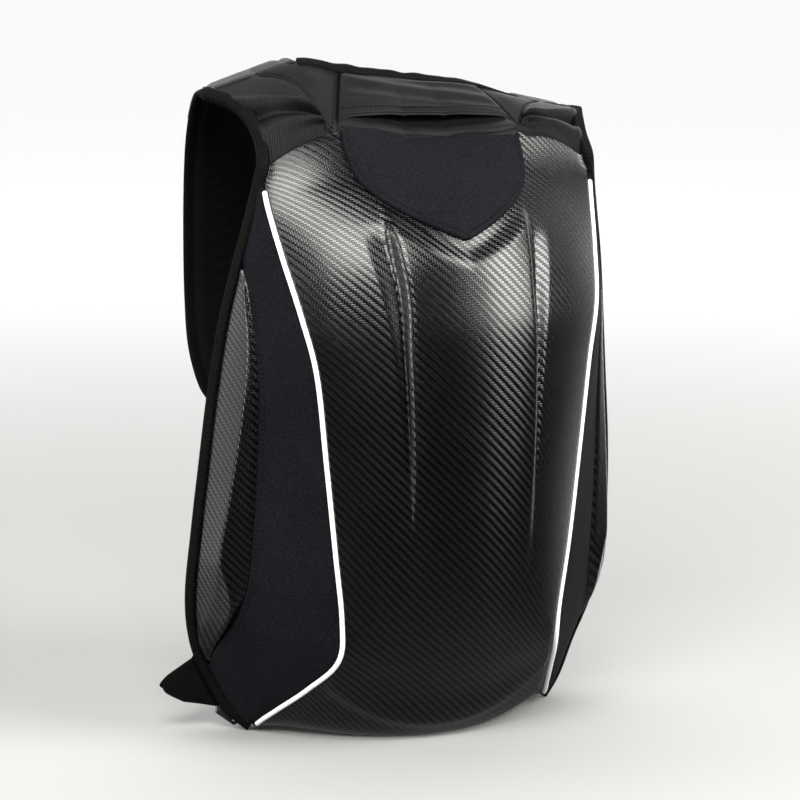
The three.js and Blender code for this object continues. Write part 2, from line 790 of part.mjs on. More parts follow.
add('front_shell', frontShell(), carbon());
add('crest_patch', crestPatch(), neoprene());
add('back_panel', backPanel(), lining());
add('yoke_centre', yokeCentre(), nylon());
add('grab_handle', grabHandle(), nylon());
add('neck_binding', neckBinding(), grosgrain());
for (const [word, side] of [['left', -1], ['right', 1]]) {
  add(`piping_${word}`, piping(side), reflective());
  add(`side_gusset_${word}`, sideGusset(side), neoprene());
  add(`side_panel_${word}`, sidePanel(side), carbon());
  add(`edge_binding_${word}`, edgeBinding(side), grosgrain());
  add(`yoke_outer_${word}`, yokeOuter(side), ribbed());
  add(`yoke_inner_${word}`, yokeInner(side), nylon());
  add(`shoulder_strap_${word}`, shoulderStrap(side, word), lining());
  add(`strap_webbing_${word}`, strapWebbing(side, word), grosgrain());
  add(`anchor_tab_${word}`, anchorTab(side, word), nylon());
  const lock = add(`ladder_lock_${word}`, ladderLock(), plastic());
  lock.position.copy(LOCK_PLACE).setX(side * LOCK_PLACE.x);
  lock.rotation.x = Math.PI / 2;
}
const slider = add('zip_slider_left', zipSlider(), plastic());
slider.position.copy(SLIDER_PLACE);
slider.rotation.set(Math.PI / 2, SLIDER_TURN, 0, 'YXZ');

const box = new THREE.Box3().setFromObject(pack, true);
const middle = box.getCenter(new THREE.Vector3());
pack.position.set(-middle.x, -middle.y, -box.min.z);

export default pack;
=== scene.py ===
"""A hard-shell motorcycle backpack standing on a pale floor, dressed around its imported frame."""
import math

import bpy
import numpy as np
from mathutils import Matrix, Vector


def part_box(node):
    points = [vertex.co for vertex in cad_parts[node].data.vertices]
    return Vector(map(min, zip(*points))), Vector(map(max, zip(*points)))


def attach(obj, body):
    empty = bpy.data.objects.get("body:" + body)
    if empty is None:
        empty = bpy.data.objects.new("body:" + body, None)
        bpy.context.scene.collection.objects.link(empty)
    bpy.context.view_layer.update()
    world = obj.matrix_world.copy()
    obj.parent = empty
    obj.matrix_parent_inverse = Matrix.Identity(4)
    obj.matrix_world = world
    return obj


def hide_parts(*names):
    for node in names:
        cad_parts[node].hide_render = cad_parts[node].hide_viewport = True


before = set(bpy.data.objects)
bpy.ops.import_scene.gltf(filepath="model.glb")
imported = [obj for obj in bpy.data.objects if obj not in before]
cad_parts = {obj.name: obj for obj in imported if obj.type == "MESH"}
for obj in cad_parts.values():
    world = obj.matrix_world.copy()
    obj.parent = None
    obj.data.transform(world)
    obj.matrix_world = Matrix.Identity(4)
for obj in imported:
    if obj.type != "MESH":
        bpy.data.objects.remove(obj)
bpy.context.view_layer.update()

# Units and place. The tables below are in millimetres: X from the middle plane, Y from the lower back corners
# towards the wearer, Z from the floor. The adjuster's known place in them gives the way to the frame.
MM = 0.001
LOCK_CENTRE = np.array([-124.0, 29.0, 225.5])
ORIGIN = np.array(sum(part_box("ladder_lock_left"), Vector())) / 2 / MM - LOCK_CENTRE
SIDES = {"left": -1, "right": 1}

# Driving dimensions
SHELL_WALL = 2.5
NEOPRENE_WALL = 2.0
PANEL_WALL = 2.5
YOKE_WALL = 5.0
HANDLE_WALL = 2.5
HANDLE_LIFT = 6.0
TAB_WALL = 1.6
BACK_PAD, BACK_PAD_EDGE, BACK_PAD_BOW = 12.0, 9.0, 8.0
PIPING_RADIUS = 1.8
BINDING_HALF = 2.8
EDGE_SETBACK = 3.65
SIDE_SWELL = 3.0
PLATEAU_RISE = 4.0
CROWN_POWER = 2.1
SEAM_ARCH = 12.0
WEBBING_WIDTH, WEBBING_THICK = 22.0, 1.8
TWILL_TOW = 1.7

# Shell sections from the top seam down the front and under to the back: edge x, y, z, then middle y, z
SHELL = np.array([
    [128, -52, 423, -49, 437],
    [127, -58, 398, -88, 409],
    [122, -75, 361, -119, 371],
    [115, -93, 321, -133, 330],
    [106, -100, 279, -139, 284],
    [99, -100, 215, -141, 218],
    [92, -99, 150, -139, 152],
    [86, -96, 100, -130, 106],
    [86, -89, 70, -114, 74],
    [97, -58, 44, -90, 38],
    [109, -27, 22.4, -66, 5],
    [115, -12, 12.2, -40, -5],
    [119, 0, 4, 4.4, -5],
])

# Back edge of the pack from the top corner down to the lower corner
BACK_EDGE = np.array([
    [128, -52, 423],
    [135, -46, 386],
    [143, -38, 348],
    [150, -29, 307],
    [156, -22, 257],
    [161, -17, 207],
    [164.5, -10.5, 162],
    [167, -1, 108],
    [160, 11, 70],
    [149, 14, 43],
    [135, 9, 17],
    [120, 1, 3.2],
])

# The groove beside the raised middle of the shell: height, place, half width and depth
GROOVE = np.array([
    [384, 63, 10, 0],
    [368, 61, 10, 2.8],
    [335, 56.5, 8, 3],
    [300, 54, 5, 2.2],
    [262, 51.5, 3.5, 1.6],
    [225, 49.5, 2.5, 1],
    [185, 48, 2, 0.3],
    [150, 47, 2, 0],
])

# The shield patch: place along the shell sections and half width; its lower edge as x and height
PATCH = np.array([[0.0, 68], [0.42, 69], [0.82, 65], [1.22, 54], [1.62, 32], [1.97, 3]])
BROW_LINE = np.array([[0, 371], [31, 384], [54, 401], [65, 417], [69, 432], [90, 470]])

# The seam between gusset and side panel by share down the side: its depth, the ridge's place and its rise
SIDE_SEAM = np.array([
    [0.16, 0.9, 0.2, 0],
    [0.2, 0.73, 0.2, 0.5],
    [0.27, 0.61, 0.2, 1.5],
    [0.38, 0.56, 0.25, 3.5],
    [0.52, 0.57, 0.36, 6],
    [0.645, 0.6, 0.44, 8.5],
    [0.69, 0.625, 0.3, 9],
    [0.72, 0.66, 0.15, 9],
    [0.76, 0.725, 0.1, 9],
    [0.81, 0.82, 0.1, 9],
    [0.86, 0.92, 0.1, 9],
])

# Ribs of the yoke from the left arm hole to the right one: foot x, top x, y, z, and the bow in x and z
YOKE = np.array([
    [-128, -151, 8, 472, 11, 9],
    [-108, -118, 1, 483, 5, 9],
    [-88, -84, -6, 493, 0, 7],
    [-70, -51, -8, 488, 0, 3],
    [0, 0, -8, 481, 0, 2],
    [70, 51, -8, 475, 0, 3],
    [88, 90, -6, 464, 0, 7],
    [108, 120, 1, 459, -3, 8],
    [128, 149, 8, 455, -2, 8],
])
LEFT_ARM, LEFT_NECK, LEFT_HANDLE, RIGHT_HANDLE, RIGHT_NECK, RIGHT_ARM = 0, 2, 3, 5, 6, 8

# Padded straps from the shoulder to the adjuster: outer edge, inner edge, thickness
STRAP_OVER = {
    "left": [[149, 34, 466, 81, 22, 492, 9], [146, 58, 440, 78, 58, 472, 10]],
    "right": [[147, 34, 450, 86, 22, 464, 9], [146, 58, 430, 79, 58, 452, 10]],
}
STRAP_DOWN = [
    [143, 74, 405, 76, 80, 438, 10],
    [142, 80, 360, 74, 88, 384, 10],
    [143, 76, 315, 76, 84, 328, 10],
    [146, 60, 282, 84, 66, 282, 10],
    [145, 40, 256, 101, 44, 250, 8],
    [138, 28, 241.2, 110, 30, 240.6, 5],
]

# Webbing from the adjuster down and forward into the anchor tab
WEBBING_TOP = [[124, 33, 236], [124, 35, 205]]
WEBBING_DOWN = {
    "left": [
        [126, 42, 150],
        [127, 47, 90],
        [132, 46, 62],
        [145, 40, 38],
        [152, 32, 25],
        [155, 25.9, 26],
        [158, 24.4, 31],
    ],
    "right": [
        [124, 42, 150],
        [122, 48, 90],
        [121, 50, 50],
        [120, 44, 25],
        [119.5, 37, 17.5],
        [119, 30.8, 20],
        [119, 29.3, 26.5],
    ],
}

# Anchor tabs: fold line and free edge, each from the seam to the tip, and the lean of the webbing in them
TAB = {
    "left": {
        "fold": [[153, 21.5, 58], [185, 24.5, 38]],
        "edge": [[135.5, 22, 15], [176, 25.5, 24]],
        "lean": 0.35,
    },
    "right": {
        "fold": [[150, 28.4, 58], [122, 32.4, 42]],
        "edge": [[131, 25.9, 15], [106, 30.9, 26]],
        "lean": 0.0,
    },
}


# Smooth helpers
def ease(value):
    value = np.clip(value, 0, 1)
    return value * value * (3 - 2 * value)


def mix(a, b, share):
    return a + (b - a) * share


def unit(vectors):
    return vectors / np.maximum(np.linalg.norm(vectors, axis=-1, keepdims=True), 1e-9)


def hump(value, middle, half):
    """A round bump of height 1 at middle, about half wide to each side."""
    return np.exp(-(((value - middle) / half) ** 2))


def fold(value, height, middle, half):
    """A round bump of some height, or a dip where the height is negative."""
    return height * hump(value, middle, half)


def bow(share):
    """An arch of height 1 over shares from 0 to 1."""
    return 4 * share * (1 - share)


def quarter_round(share):
    """A quarter circle that rises from 0 to 1 and stays there."""
    return np.sqrt(1 - (1 - np.minimum(share, 1)) ** 2)


def soft_least(a, b, rounding):
    """The smaller of two values, with the corner between them rounded."""
    return -np.log(np.exp(-a / rounding) + np.exp(-b / rounding)) * rounding


def row_at(rows, place):
    """The row at a fractional place in a table, on a smooth curve through its rows."""
    rows = np.asarray(rows, float)
    place = np.asarray(place, float)
    last = len(rows) - 1
    i = np.clip(np.floor(place).astype(int), 0, last - 1)
    f = (place - i)[..., None]
    a, b, c, d = (rows[np.clip(i + k, 0, last)] for k in (-1, 0, 1, 2))
    return b + 0.5 * f * (c - a + f * (2 * a - 5 * b + 4 * c - d + f * (3 * (b - c) + d - a)))


def row_by(rows, value):
    """The row of a table at a value of its first column, which may rise or fall down the table."""
    sign = 1 if rows[1, 0] > rows[0, 0] else -1
    return row_at(rows, np.interp(sign * np.asarray(value), sign * rows[:, 0], np.arange(len(rows))))


def split(table):
    """The columns of a table, or of a grid of its rows."""
    return np.moveaxis(table, -1, 0)


def run_along(points):
    """Distance along a row of points, from its first one."""
    return np.concatenate([[0], np.cumsum(np.linalg.norm(np.diff(points, axis=0), axis=1))])


def at_run(points, run, where):
    """The points at some distances along a row of points."""
    return np.stack([np.interp(where, run, column) for column in points.T], -1)


def mirrored(points, side):
    return points * np.array([side, 1, 1])


class Line:
    """A smooth curve through points, by the share of its length."""

    SAMPLES = 801
    STEP = 0.002

    def __init__(self, rows):
        self.rows = np.asarray(rows, float)
        self.t = np.linspace(0, 1, self.SAMPLES)
        run = run_along(row_at(self.rows, self.t * (len(self.rows) - 1)))
        self.length = run[-1]
        self.run = run / run[-1]

    def place(self, share):
        return np.interp(share, self.run, self.t) * (len(self.rows) - 1)

    def at(self, share):
        return row_at(self.rows, self.place(share))

    def ahead(self, share):
        return unit(self.at(np.minimum(share + self.STEP, 1)) - self.at(np.maximum(share - self.STEP, 0)))


# Mesh helpers
def grid(rows, columns, start=0.0, end=1.0):
    """Shares down a grid, from start to end, and across it, from 0 to 1."""
    return np.meshgrid(np.linspace(start, end, rows), np.linspace(0, 1, columns), indexing="ij")


def grid_faces(rows, columns):
    i = np.arange(rows - 1)[:, None] * columns + np.arange(columns - 1)
    return np.stack([i, i + 1, i + columns + 1, i + columns], -1).reshape(-1, 4)


def outward(points, faces):
    """The same faces, turned round if they enclose a negative volume."""
    a, b, c, d = (points[faces[:, k]] for k in range(4))
    volume = np.einsum("ij,ij->", a, np.cross(b, c)) + np.einsum("ij,ij->", a, np.cross(c, d))
    return (faces if volume > 0 else faces[:, ::-1]).tolist()


def sheet_solid(face, back):
    """A closed sheet between a grid of face points and one of back points, joined by a rim."""
    rows, columns = face.shape[:2]
    count = rows * columns
    points = np.concatenate([face.reshape(-1, 3), back.reshape(-1, 3)])
    ids = np.arange(count).reshape(rows, columns)
    rim = np.concatenate([ids[0, :-1], ids[:-1, -1], ids[-1, :0:-1], ids[:0:-1, 0]])
    after = np.roll(rim, -1)
    walls = np.stack([after, rim, rim + count, after + count], -1)
    quads = grid_faces(rows, columns)
    return points, outward(points, np.concatenate([quads, (quads + count)[:, ::-1], walls]))


def tube_quads(ids):
    """The side faces of tubes, from the numbers of their points by ring and side in the last two axes."""
    near, far = ids[..., :-1, :], ids[..., 1:, :]
    return np.stack([near, np.roll(near, -1, -1), np.roll(far, -1, -1), far], -1).reshape(-1, 4)


def loft(rings):
    """A closed tube through rings of equally many points, with flat ends."""
    points = rings.reshape(-1, 3)
    ids = np.arange(len(points)).reshape(rings.shape[:2])
    quads = tube_quads(ids)
    faces = outward(points, quads)
    turned = faces[0] != quads[0].tolist()
    ends = (ids[0], ids[-1, ::-1]) if turned else (ids[0, ::-1], ids[-1])
    return points, faces + [end.tolist() for end in ends]


def spokes(over, up, sides):
    """Directions round a path, from the two that are square to it: point, side, axis."""
    turn = np.arange(sides)[:, None] * 2 * np.pi / sides
    return over[:, None] * np.cos(turn) + up[:, None] * np.sin(turn)


def put(name, data):
    """A new object in the scene."""
    piece = bpy.data.objects.new(name, data)
    bpy.context.scene.collection.objects.link(piece)
    return piece


def join_pack(piece, replaces=()):
    """Rides a piece on the pack's one body and in place of the nodes it replaces."""
    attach(piece, "root")
    if replaces:
        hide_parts(*replaces)
    return piece


def shade_smooth(mesh):
    mesh.polygons.foreach_set("use_smooth", np.ones(len(mesh.polygons), bool))
    mesh.update()


def add_mesh(name, points, faces, material, slot, replaces=(), **attributes):
    """A smooth piece of the pack from points in millimetres, with vectors on its points for its material."""
    mesh = bpy.data.meshes.new(name)
    mesh.from_pydata(((np.asarray(points) + ORIGIN) * MM).tolist(), [], faces)
    for key, values in attributes.items():
        vectors = np.zeros((len(points), 3), np.float32)
        vectors[:, : values.shape[1]] = values
        mesh.attributes.new(key, "FLOAT_VECTOR", "POINT").data.foreach_set("vector", vectors.ravel())
    mesh.materials.append(material)
    shade_smooth(mesh)
    return join_pack(put(name, mesh), replaces)


def add_sheet(name, face, back, material, slot, replaces, weave):
    """A closed sheet with the weave's place and the lay of its threads on both faces."""
    points, faces = sheet_solid(face, back)
    lay = unit(np.gradient(face, axis=1)).reshape(-1, 3)
    place = weave.reshape(-1, 2)
    both = {"weave": np.tile(place, (2, 1)), "grain": np.tile(lay, (2, 1))}
    return add_mesh(name, points, faces, material, slot, replaces, **both)


# Stitches: rings of one stitch by share of its length, share of its radius and lift
STITCH_SECTION = np.array([
    [-0.5, 0.3, -0.5],
    [-0.34, 0.9, -0.1],
    [0, 1, 0.1],
    [0.34, 0.9, -0.1],
    [0.5, 0.3, -0.5],
])
STITCH_PITCH, STITCH_LENGTH, STITCH_RADIUS = 3.4, 2.6, 0.36
STITCH_SIDES = 6


def stitch_row(path, normals, pitch=STITCH_PITCH, length=STITCH_LENGTH, radius=STITCH_RADIUS):
    """Points of the stitches along a path: stitch, ring, side."""
    run = run_along(path)
    count = max(int(run[-1] / pitch), 1)
    middle = (np.arange(count) + 0.5) * run[-1] / count
    ahead = unit(at_run(path, run, middle + 0.5) - at_run(path, run, middle - 0.5))
    over = unit(np.cross(unit(at_run(normals, run, middle)), ahead))
    up = np.cross(ahead, over)
    share, thick, lift = STITCH_SECTION.T
    centre = at_run(path, run, middle)[:, None] + ahead[:, None] * (share * length)[:, None]
    centre = centre + up[:, None] * (lift * radius)[:, None]
    return centre[:, :, None] + spokes(over, up, STITCH_SIDES)[:, None] * (thick * radius)[:, None, None]


def add_stitches(name, lines, thread, slot="grosgrain", **sizes):
    """One joined piece of stitches along each of the lines, given as points and surface directions."""
    points = np.concatenate([stitch_row(path, normals, **sizes) for path, normals in lines])
    ids = np.arange(points.size // 3).reshape(points.shape[:3])
    ends = np.concatenate([ids[:, 0, ::-1], ids[:, -1]])
    faces = tube_quads(ids).tolist() + ends.tolist()
    return add_mesh(name, points.reshape(-1, 3), faces, thread, slot)


# Shell: the top seam's arch, the brow, the grooves' section, and the rolled rim along the foot
ARCH_AT, ARCH_REACH, ARCH_DEPTH = 0.54, 0.4, 0.9
BROW_START, BROW_RUN = 3.0, 18.0
CHIN_FADE_START, CHIN_FADE_RUN = 110.0, 130.0
LIP_RUN = 8.0
GROOVE_BOTTOM, GROOVE_ROUND, GROOVE_LEVEL = -0.35, 0.4, 0.75
RIM_FOOT, RIM_CLIMB, RIM_HALF, RIM_POWER = 16.0, 38.0, 90.0, 2.2
RIM_RISE, RIM_ABOVE, RIM_BELOW, RIM_FADE = 3.4, 15.0, 7.0, 16.0
SHELL_ROWS = 296
SHELL_MIDDLE_COLUMNS, SHELL_GROOVE_COLUMNS, SHELL_FLANK_COLUMNS = 28, 16, 28
SHELL_TUCK = 0.9
SHELL_LAST = len(SHELL) - 1
SLOPE_STEP = 0.02


def seam_arch(off):
    """Rise of the shell's top seam to each side of its middle, by the share out to its corner."""
    return SEAM_ARCH * np.maximum(0, 1 - ((off - ARCH_AT) / ARCH_REACH) ** 2)


def shell_plain(place, x):
    place, x = np.broadcast_arrays(np.asarray(place, float), np.asarray(x, float))
    edge_x, edge_y, edge_z, mid_y, mid_z = split(row_at(SHELL, place))
    off = np.abs(x) / edge_x
    crown = 1 - off**CROWN_POWER
    z = mix(edge_z, mid_z, crown) + ease(1 - place / ARCH_DEPTH) * seam_arch(off)
    return np.stack([x, mix(edge_y, mid_y, crown), np.maximum(z, 0)], -1)


def shell_out(place, x):
    before, after = np.maximum(place - SLOPE_STEP, 0), np.minimum(place + SLOPE_STEP, SHELL_LAST)
    over = shell_plain(place, x + 1) - shell_plain(place, x - 1)
    return unit(np.cross(shell_plain(after, x) - shell_plain(before, x), over))


def shell_rim(off, z):
    """Rise of the rolled rim along the shell's foot, which climbs to the sides and fades into the piping."""
    above = z - RIM_FOOT - RIM_CLIMB * (off / RIM_HALF) ** RIM_POWER
    edge_x = np.interp(z, SHELL[::-1, 2], SHELL[::-1, 0])
    fade = ease((edge_x - off) / RIM_FADE)
    return RIM_RISE * hump(above, 0, np.where(above > 0, RIM_ABOVE, RIM_BELOW)) * fade


def shell_relief(x, z):
    """How far the shell stands proud of its plain section: raised middle and rim, less the grooves."""
    _, groove_x, half, depth = split(row_by(GROOVE, z))
    off = np.abs(x)
    brow_z = row_by(BROW_LINE, off)[..., 1]
    below = ease((brow_z - z - BROW_START) / BROW_RUN) * ease((z - CHIN_FADE_START) / CHIN_FADE_RUN)
    raised = 1 - ease((off - groove_x + half + LIP_RUN / 2) / LIP_RUN)
    across = (off - groove_x) / half
    dip = np.maximum(0, np.minimum((1 + across) / (1 + GROOVE_BOTTOM), (1 - across) / (1 - GROOVE_BOTTOM)))
    groove = np.where(z < GROOVE[0, 0], depth * mix(dip, ease(dip), GROOVE_ROUND), 0)
    return PLATEAU_RISE * below * raised - groove + shell_rim(off, z)


def shell_point(place, x, proud=0.0):
    point = shell_plain(place, x)
    relief = np.where(point[..., 2] > 1, shell_relief(point[..., 0], point[..., 2]), 0)
    return point + shell_out(place, x) * (relief + proud)[..., None]


def shell_columns(place):
    """Distances from the middle plane at a place: the middle, the groove and the flank out to the piping."""
    edge_x, edge_y, edge_z, mid_y, mid_z = split(row_at(SHELL, place)[:, None])
    _, groove_x, half, _ = split(row_by(GROOVE, mix(edge_z, mid_z, GROOVE_LEVEL)))
    slope = CROWN_POWER * np.hypot(mid_y - edge_y, mid_z - edge_z)
    rim = edge_x * (1 - SHELL_TUCK / np.hypot(edge_x, slope))
    share = lambda count: np.arange(1, count + 1) / count
    middle = (groove_x - half) * share(SHELL_MIDDLE_COLUMNS)
    groove = groove_x + half * (2 * share(SHELL_GROOVE_COLUMNS) - 1)
    flank = mix(groove_x + half, rim, share(SHELL_FLANK_COLUMNS))
    right = np.concatenate([middle, groove, flank], axis=1)
    return np.concatenate([-right[:, ::-1], np.zeros((len(place), 1)), right], axis=1)


def grid_weave(face):
    """Millimetres across and down a grid of points, from its middle column and its first row."""
    middle = face.shape[1] // 2
    across = np.cumsum(np.linalg.norm(np.diff(face, axis=1), axis=2), axis=1)
    across = np.concatenate([np.zeros((len(face), 1)), across], axis=1)
    across = across - across[:, middle][:, None]
    return np.stack(np.broadcast_arrays(across, run_along(face[:, middle])[:, None]), -1)


def front_shell(material):
    place = np.linspace(0, SHELL_LAST, SHELL_ROWS)
    place, x = np.broadcast_arrays(place[:, None], shell_columns(place))
    face, back = shell_point(place, x), shell_point(place, x, -SHELL_WALL)
    weave = grid_weave(shell_plain(place, x))
    add_sheet("front_shell_skin", face, back, material, "carbon_skin", ["front_shell"], weave)


# Shield patch: its rolled edge, the ditch that its seam lies in, and the soft swell inside it
PATCH_ROWS, PATCH_COLUMNS, PATCH_OUTLINE = 84, 97, 500
PATCH_LIFT, PATCH_BACK = 1.0, 0.3
PATCH_EDGE_ROUND = 2.4
PATCH_SEAM = 4.2
PATCH_DITCH = (0.9, PATCH_SEAM, 0.8)
PATCH_SWELL, PATCH_SWELL_RUN = 0.9, 16.0
PATCH_THREAD = 2.45
PATCH_TIP_GAP = 1.5


def outline_distance(flat, outline):
    """Shortest distance of each flat point to the points of an outline."""
    best = np.full(flat.shape[:-1], np.inf)
    for point in outline:
        best = np.minimum(best, np.hypot(*split(flat - point)))
    return best


def crest_patch(material, thread):
    last = len(PATCH) - 1
    down = np.linspace(0, 1, PATCH_ROWS)
    table = row_at(PATCH, down * last)
    place, x = np.broadcast_arrays(table[:, :1], table[:, 1:] * np.linspace(-1, 1, PATCH_COLUMNS))
    fall = run_along(shell_plain(table[:, 0], np.zeros(PATCH_ROWS)))
    flat = np.stack(np.broadcast_arrays(x, fall[:, None]), -1)
    side = at_run(np.stack([table[:, 1], fall], -1), down, np.linspace(0, 1, PATCH_OUTLINE))
    tip = np.stack([np.linspace(-PATCH[-1, 1], PATCH[-1, 1], 9), np.full(9, fall[-1])], -1)
    inside = outline_distance(flat, np.concatenate([side, side * [-1, 1], tip]))
    ditch = fold(inside, *PATCH_DITCH)
    swell = PATCH_SWELL * (1 - np.exp(-inside / PATCH_SWELL_RUN))
    proud = PATCH_LIFT + NEOPRENE_WALL * quarter_round(inside / PATCH_EDGE_ROUND) - ditch + swell
    face, back = shell_point(place, x, proud), shell_point(place, x, PATCH_BACK)
    patch = add_sheet("crest_patch_neoprene", face, back, material, "neoprene", ["crest_patch"], flat)
    share = np.linspace(0.02, 0.985, 160)
    edge = np.stack([row_at(PATCH, share * last)[:, 1], np.interp(share, down, fall)], -1)
    along = unit(np.gradient(edge, axis=0))
    inner = edge + PATCH_SEAM * np.stack([-along[:, 1], along[:, 0]], -1)
    inner = inner[inner[:, 0] > PATCH_TIP_GAP]
    at = np.interp(inner[:, 1], fall, table[:, 0])
    lines = []
    for sign in SIDES.values():
        seam_x = sign * inner[:, 0]
        lines.append((shell_point(at, seam_x, PATCH_THREAD), shell_out(at, seam_x)))
    seam = add_stitches("stitching_patch", lines, thread)


# Sides of the pack, between the piping seam and the back edge, by share down them and depth from seam to edge
SEAM_LINE, BACK_LINE = Line(SHELL[:, :3]), Line(BACK_EDGE)
SIDE_REAR = 0.985
SEAM_DIP, SEAM_DIP_RUN = 1.3, 2.6
GUSSET_TOP, GUSSET_FOOT, GUSSET_GAP = 0.012, 0.985, 0.6
GUSSET_SLACK, GUSSET_SLACK_RUN, GUSSET_WAVES, GUSSET_SLANT = 0.5, 20.0, 21, 3
PIPING_COVER = 1.4
PANEL_TOP, PANEL_FOOT = 0.168, 0.855
PANEL_PEAK, PANEL_PEAK_RISE = 0.645, 8.8
PANEL_RIDGE_ROUND, PANEL_CREASE_ROUND = 0.05, 0.25
SIDE_SEAM_OFFSETS, SIDE_THREAD_PROUD = (3.2, 5.6), 0.2
SIDE_THREAD = {"length": 2.2, "radius": 0.26}
OUT_STEP = 10.0


def side_point(side, share, depth, rise=0.0):
    share, depth, rise = np.broadcast_arrays(share, depth, np.asarray(rise, float))
    front, back = SEAM_LINE.at(share), BACK_LINE.at(share)
    out = unit(np.cross(SEAM_LINE.ahead(share) + BACK_LINE.ahead(share), back - front))
    point = mix(front, back, depth[..., None])
    return mirrored(point + out * (rise + SIDE_SWELL * bow(depth))[..., None], side)


def side_width(share):
    return np.linalg.norm(SEAM_LINE.at(share) - BACK_LINE.at(share), axis=-1)


def seam_depth(share):
    """Depth of the seam between gusset and side panel, or of the back edge above and below the panel."""
    inside = (share >= SIDE_SEAM[0, 0]) & (share <= SIDE_SEAM[-1, 0])
    return np.where(inside, np.minimum(row_by(SIDE_SEAM, share)[..., 1], SIDE_REAR), SIDE_REAR)


def dip_towards(distance):
    """The dip of a panel into a sewn seam, by the distance from the seam."""
    return -SEAM_DIP * hump(np.maximum(distance, 0), 0, SEAM_DIP_RUN)


def side_gusset(word, side, material):
    share, over = grid(170, 44, GUSSET_TOP, GUSSET_FOOT)
    width, end = side_width(share), seam_depth(share)
    depth = mix(GUSSET_GAP / width, end, over)
    from_piping, from_seam = depth * width, (end - depth) * width
    free = ease(from_piping / GUSSET_SLACK_RUN) * ease(from_seam / GUSSET_SLACK_RUN)
    slack = GUSSET_SLACK * np.sin(share * GUSSET_WAVES + depth * GUSSET_SLANT) * free
    rise = dip_towards(from_piping - PIPING_COVER) + dip_towards(from_seam) + slack
    face, back = (side_point(side, share, depth, rise - wall) for wall in (0, NEOPRENE_WALL))
    weave = np.stack([from_piping, share * SEAM_LINE.length], -1)
    name, node = f"side_gusset_neoprene_{word}", f"side_gusset_{word}"
    gusset = add_sheet(name, face, back, material, "neoprene", [node], weave)


def side_panel(word, side, material):
    """The creased panel: two facets that meet in a ridge, cut off below by a flat third one."""
    share, over = grid(150, 60, PANEL_TOP, PANEL_FOOT)
    width = side_width(share)
    _, start, ridge, top = split(row_by(SIDE_SEAM, share))
    start = np.minimum(start, SIDE_REAR)
    depth = mix(start, SIDE_REAR, over)
    tent = top * np.clip(soft_least(over / ridge, (1 - over) / (1 - ridge), PANEL_RIDGE_ROUND), 0, 1)
    cut = PANEL_PEAK_RISE * np.clip((PANEL_FOOT - share) / (PANEL_FOOT - PANEL_PEAK), 0, 2)
    roof = np.maximum(soft_least(tent, cut, PANEL_CREASE_ROUND), 0)
    rise = roof + dip_towards((depth - start) * width)
    face, back = (side_point(side, share, depth, rise - wall) for wall in (0, PANEL_WALL))
    weave = np.stack([side * depth * width, share * BACK_LINE.length], -1)
    add_sheet(f"side_panel_skin_{word}", face, back, material, "carbon_skin", [f"side_panel_{word}"], weave)


def side_stitches(thread):
    lines = []
    share = np.linspace(0.2, 0.82, 200)
    for side in SIDES.values():
        for offset in SIDE_SEAM_OFFSETS:
            depth = seam_depth(share) - offset / side_width(share)
            path = side_point(side, share, depth, dip_towards(offset) + SIDE_THREAD_PROUD)
            lines.append((path, unit(side_point(side, share, depth, OUT_STEP) - path)))
    add_stitches("stitching_sides", lines, thread, "neoprene", **SIDE_THREAD)


# White piping: its stretch of the seam, its stand off the foot, its tips and its faint ribs
PIPING_FROM, PIPING_TO, PIPING_STEPS, PIPING_SIDES = 0.036, 0.99, 420, 14
PIPING_PROUD, PIPING_PROUD_FROM, PIPING_PROUD_RUN = 1.1, 0.7, 0.1
PIPING_TIP_RUN, PIPING_TIP = 0.002, math.sqrt(0.05)
PIPING_RIB, PIPING_RIB_RUN, PIPING_SIDE = 0.012, 1.3, 0.02


def piping(word, side, material):
    share = np.linspace(PIPING_FROM, PIPING_TO, PIPING_STEPS)
    seam = SEAM_LINE.at(share)
    side_out = unit(side_point(1, share, PIPING_SIDE, OUT_STEP) - side_point(1, share, PIPING_SIDE))
    out = unit(shell_out(SEAM_LINE.place(share), seam[:, 0] - 1) + side_out)
    stand = PIPING_PROUD * ease((share - PIPING_PROUD_FROM) / PIPING_PROUD_RUN)
    path = mirrored(seam + out * stand[:, None], side)
    ahead = unit(np.gradient(path, axis=0))
    over = unit(np.cross(ahead, [0.0, 1.0, 0.0]))
    ribs = 1 + PIPING_RIB * np.sin(share * SEAM_LINE.length / PIPING_RIB_RUN)
    from_tip = np.minimum(share - PIPING_FROM, PIPING_TO - share) / PIPING_TIP_RUN
    radius = PIPING_RADIUS * ribs * np.maximum(quarter_round(from_tip), PIPING_TIP)
    rings = path[:, None] + spokes(over, np.cross(over, ahead), PIPING_SIDES) * radius[:, None, None]
    add_mesh(f"piping_cord_{word}", *loft(rings), material, "reflective_piping", [f"piping_{word}"])


# Yoke over the top of the pack, by rib across it and rise up the rib
RIDGE_SEAM_SHIFT, RIDGE_SEAM_POWER = 1.85, 0.9
FOOT_STEP = 1.84
STRIP_HALF, SEAM_DROP = 70.0, 27.0
STRIP_SEAM = 0.1
RIB_STEP, RIB_STEP_SLANT = 32.0, 24.0
YOKE_TUCK, YOKE_TUCK_RUN = 3.2, 0.07
YOKE_FOOT, DROOP, DROOP_RIB, DROOP_HALF = -0.02, 0.13, 5.25, 1.25
HANG_EASE, HANG_RISE = 0.05, 0.35
FAN_FOOT, FAN_END, FAN_LEAST, FOLD_END, FOLD_FADE = 0.12, 0.2, 0.2, 0.25, 0.9
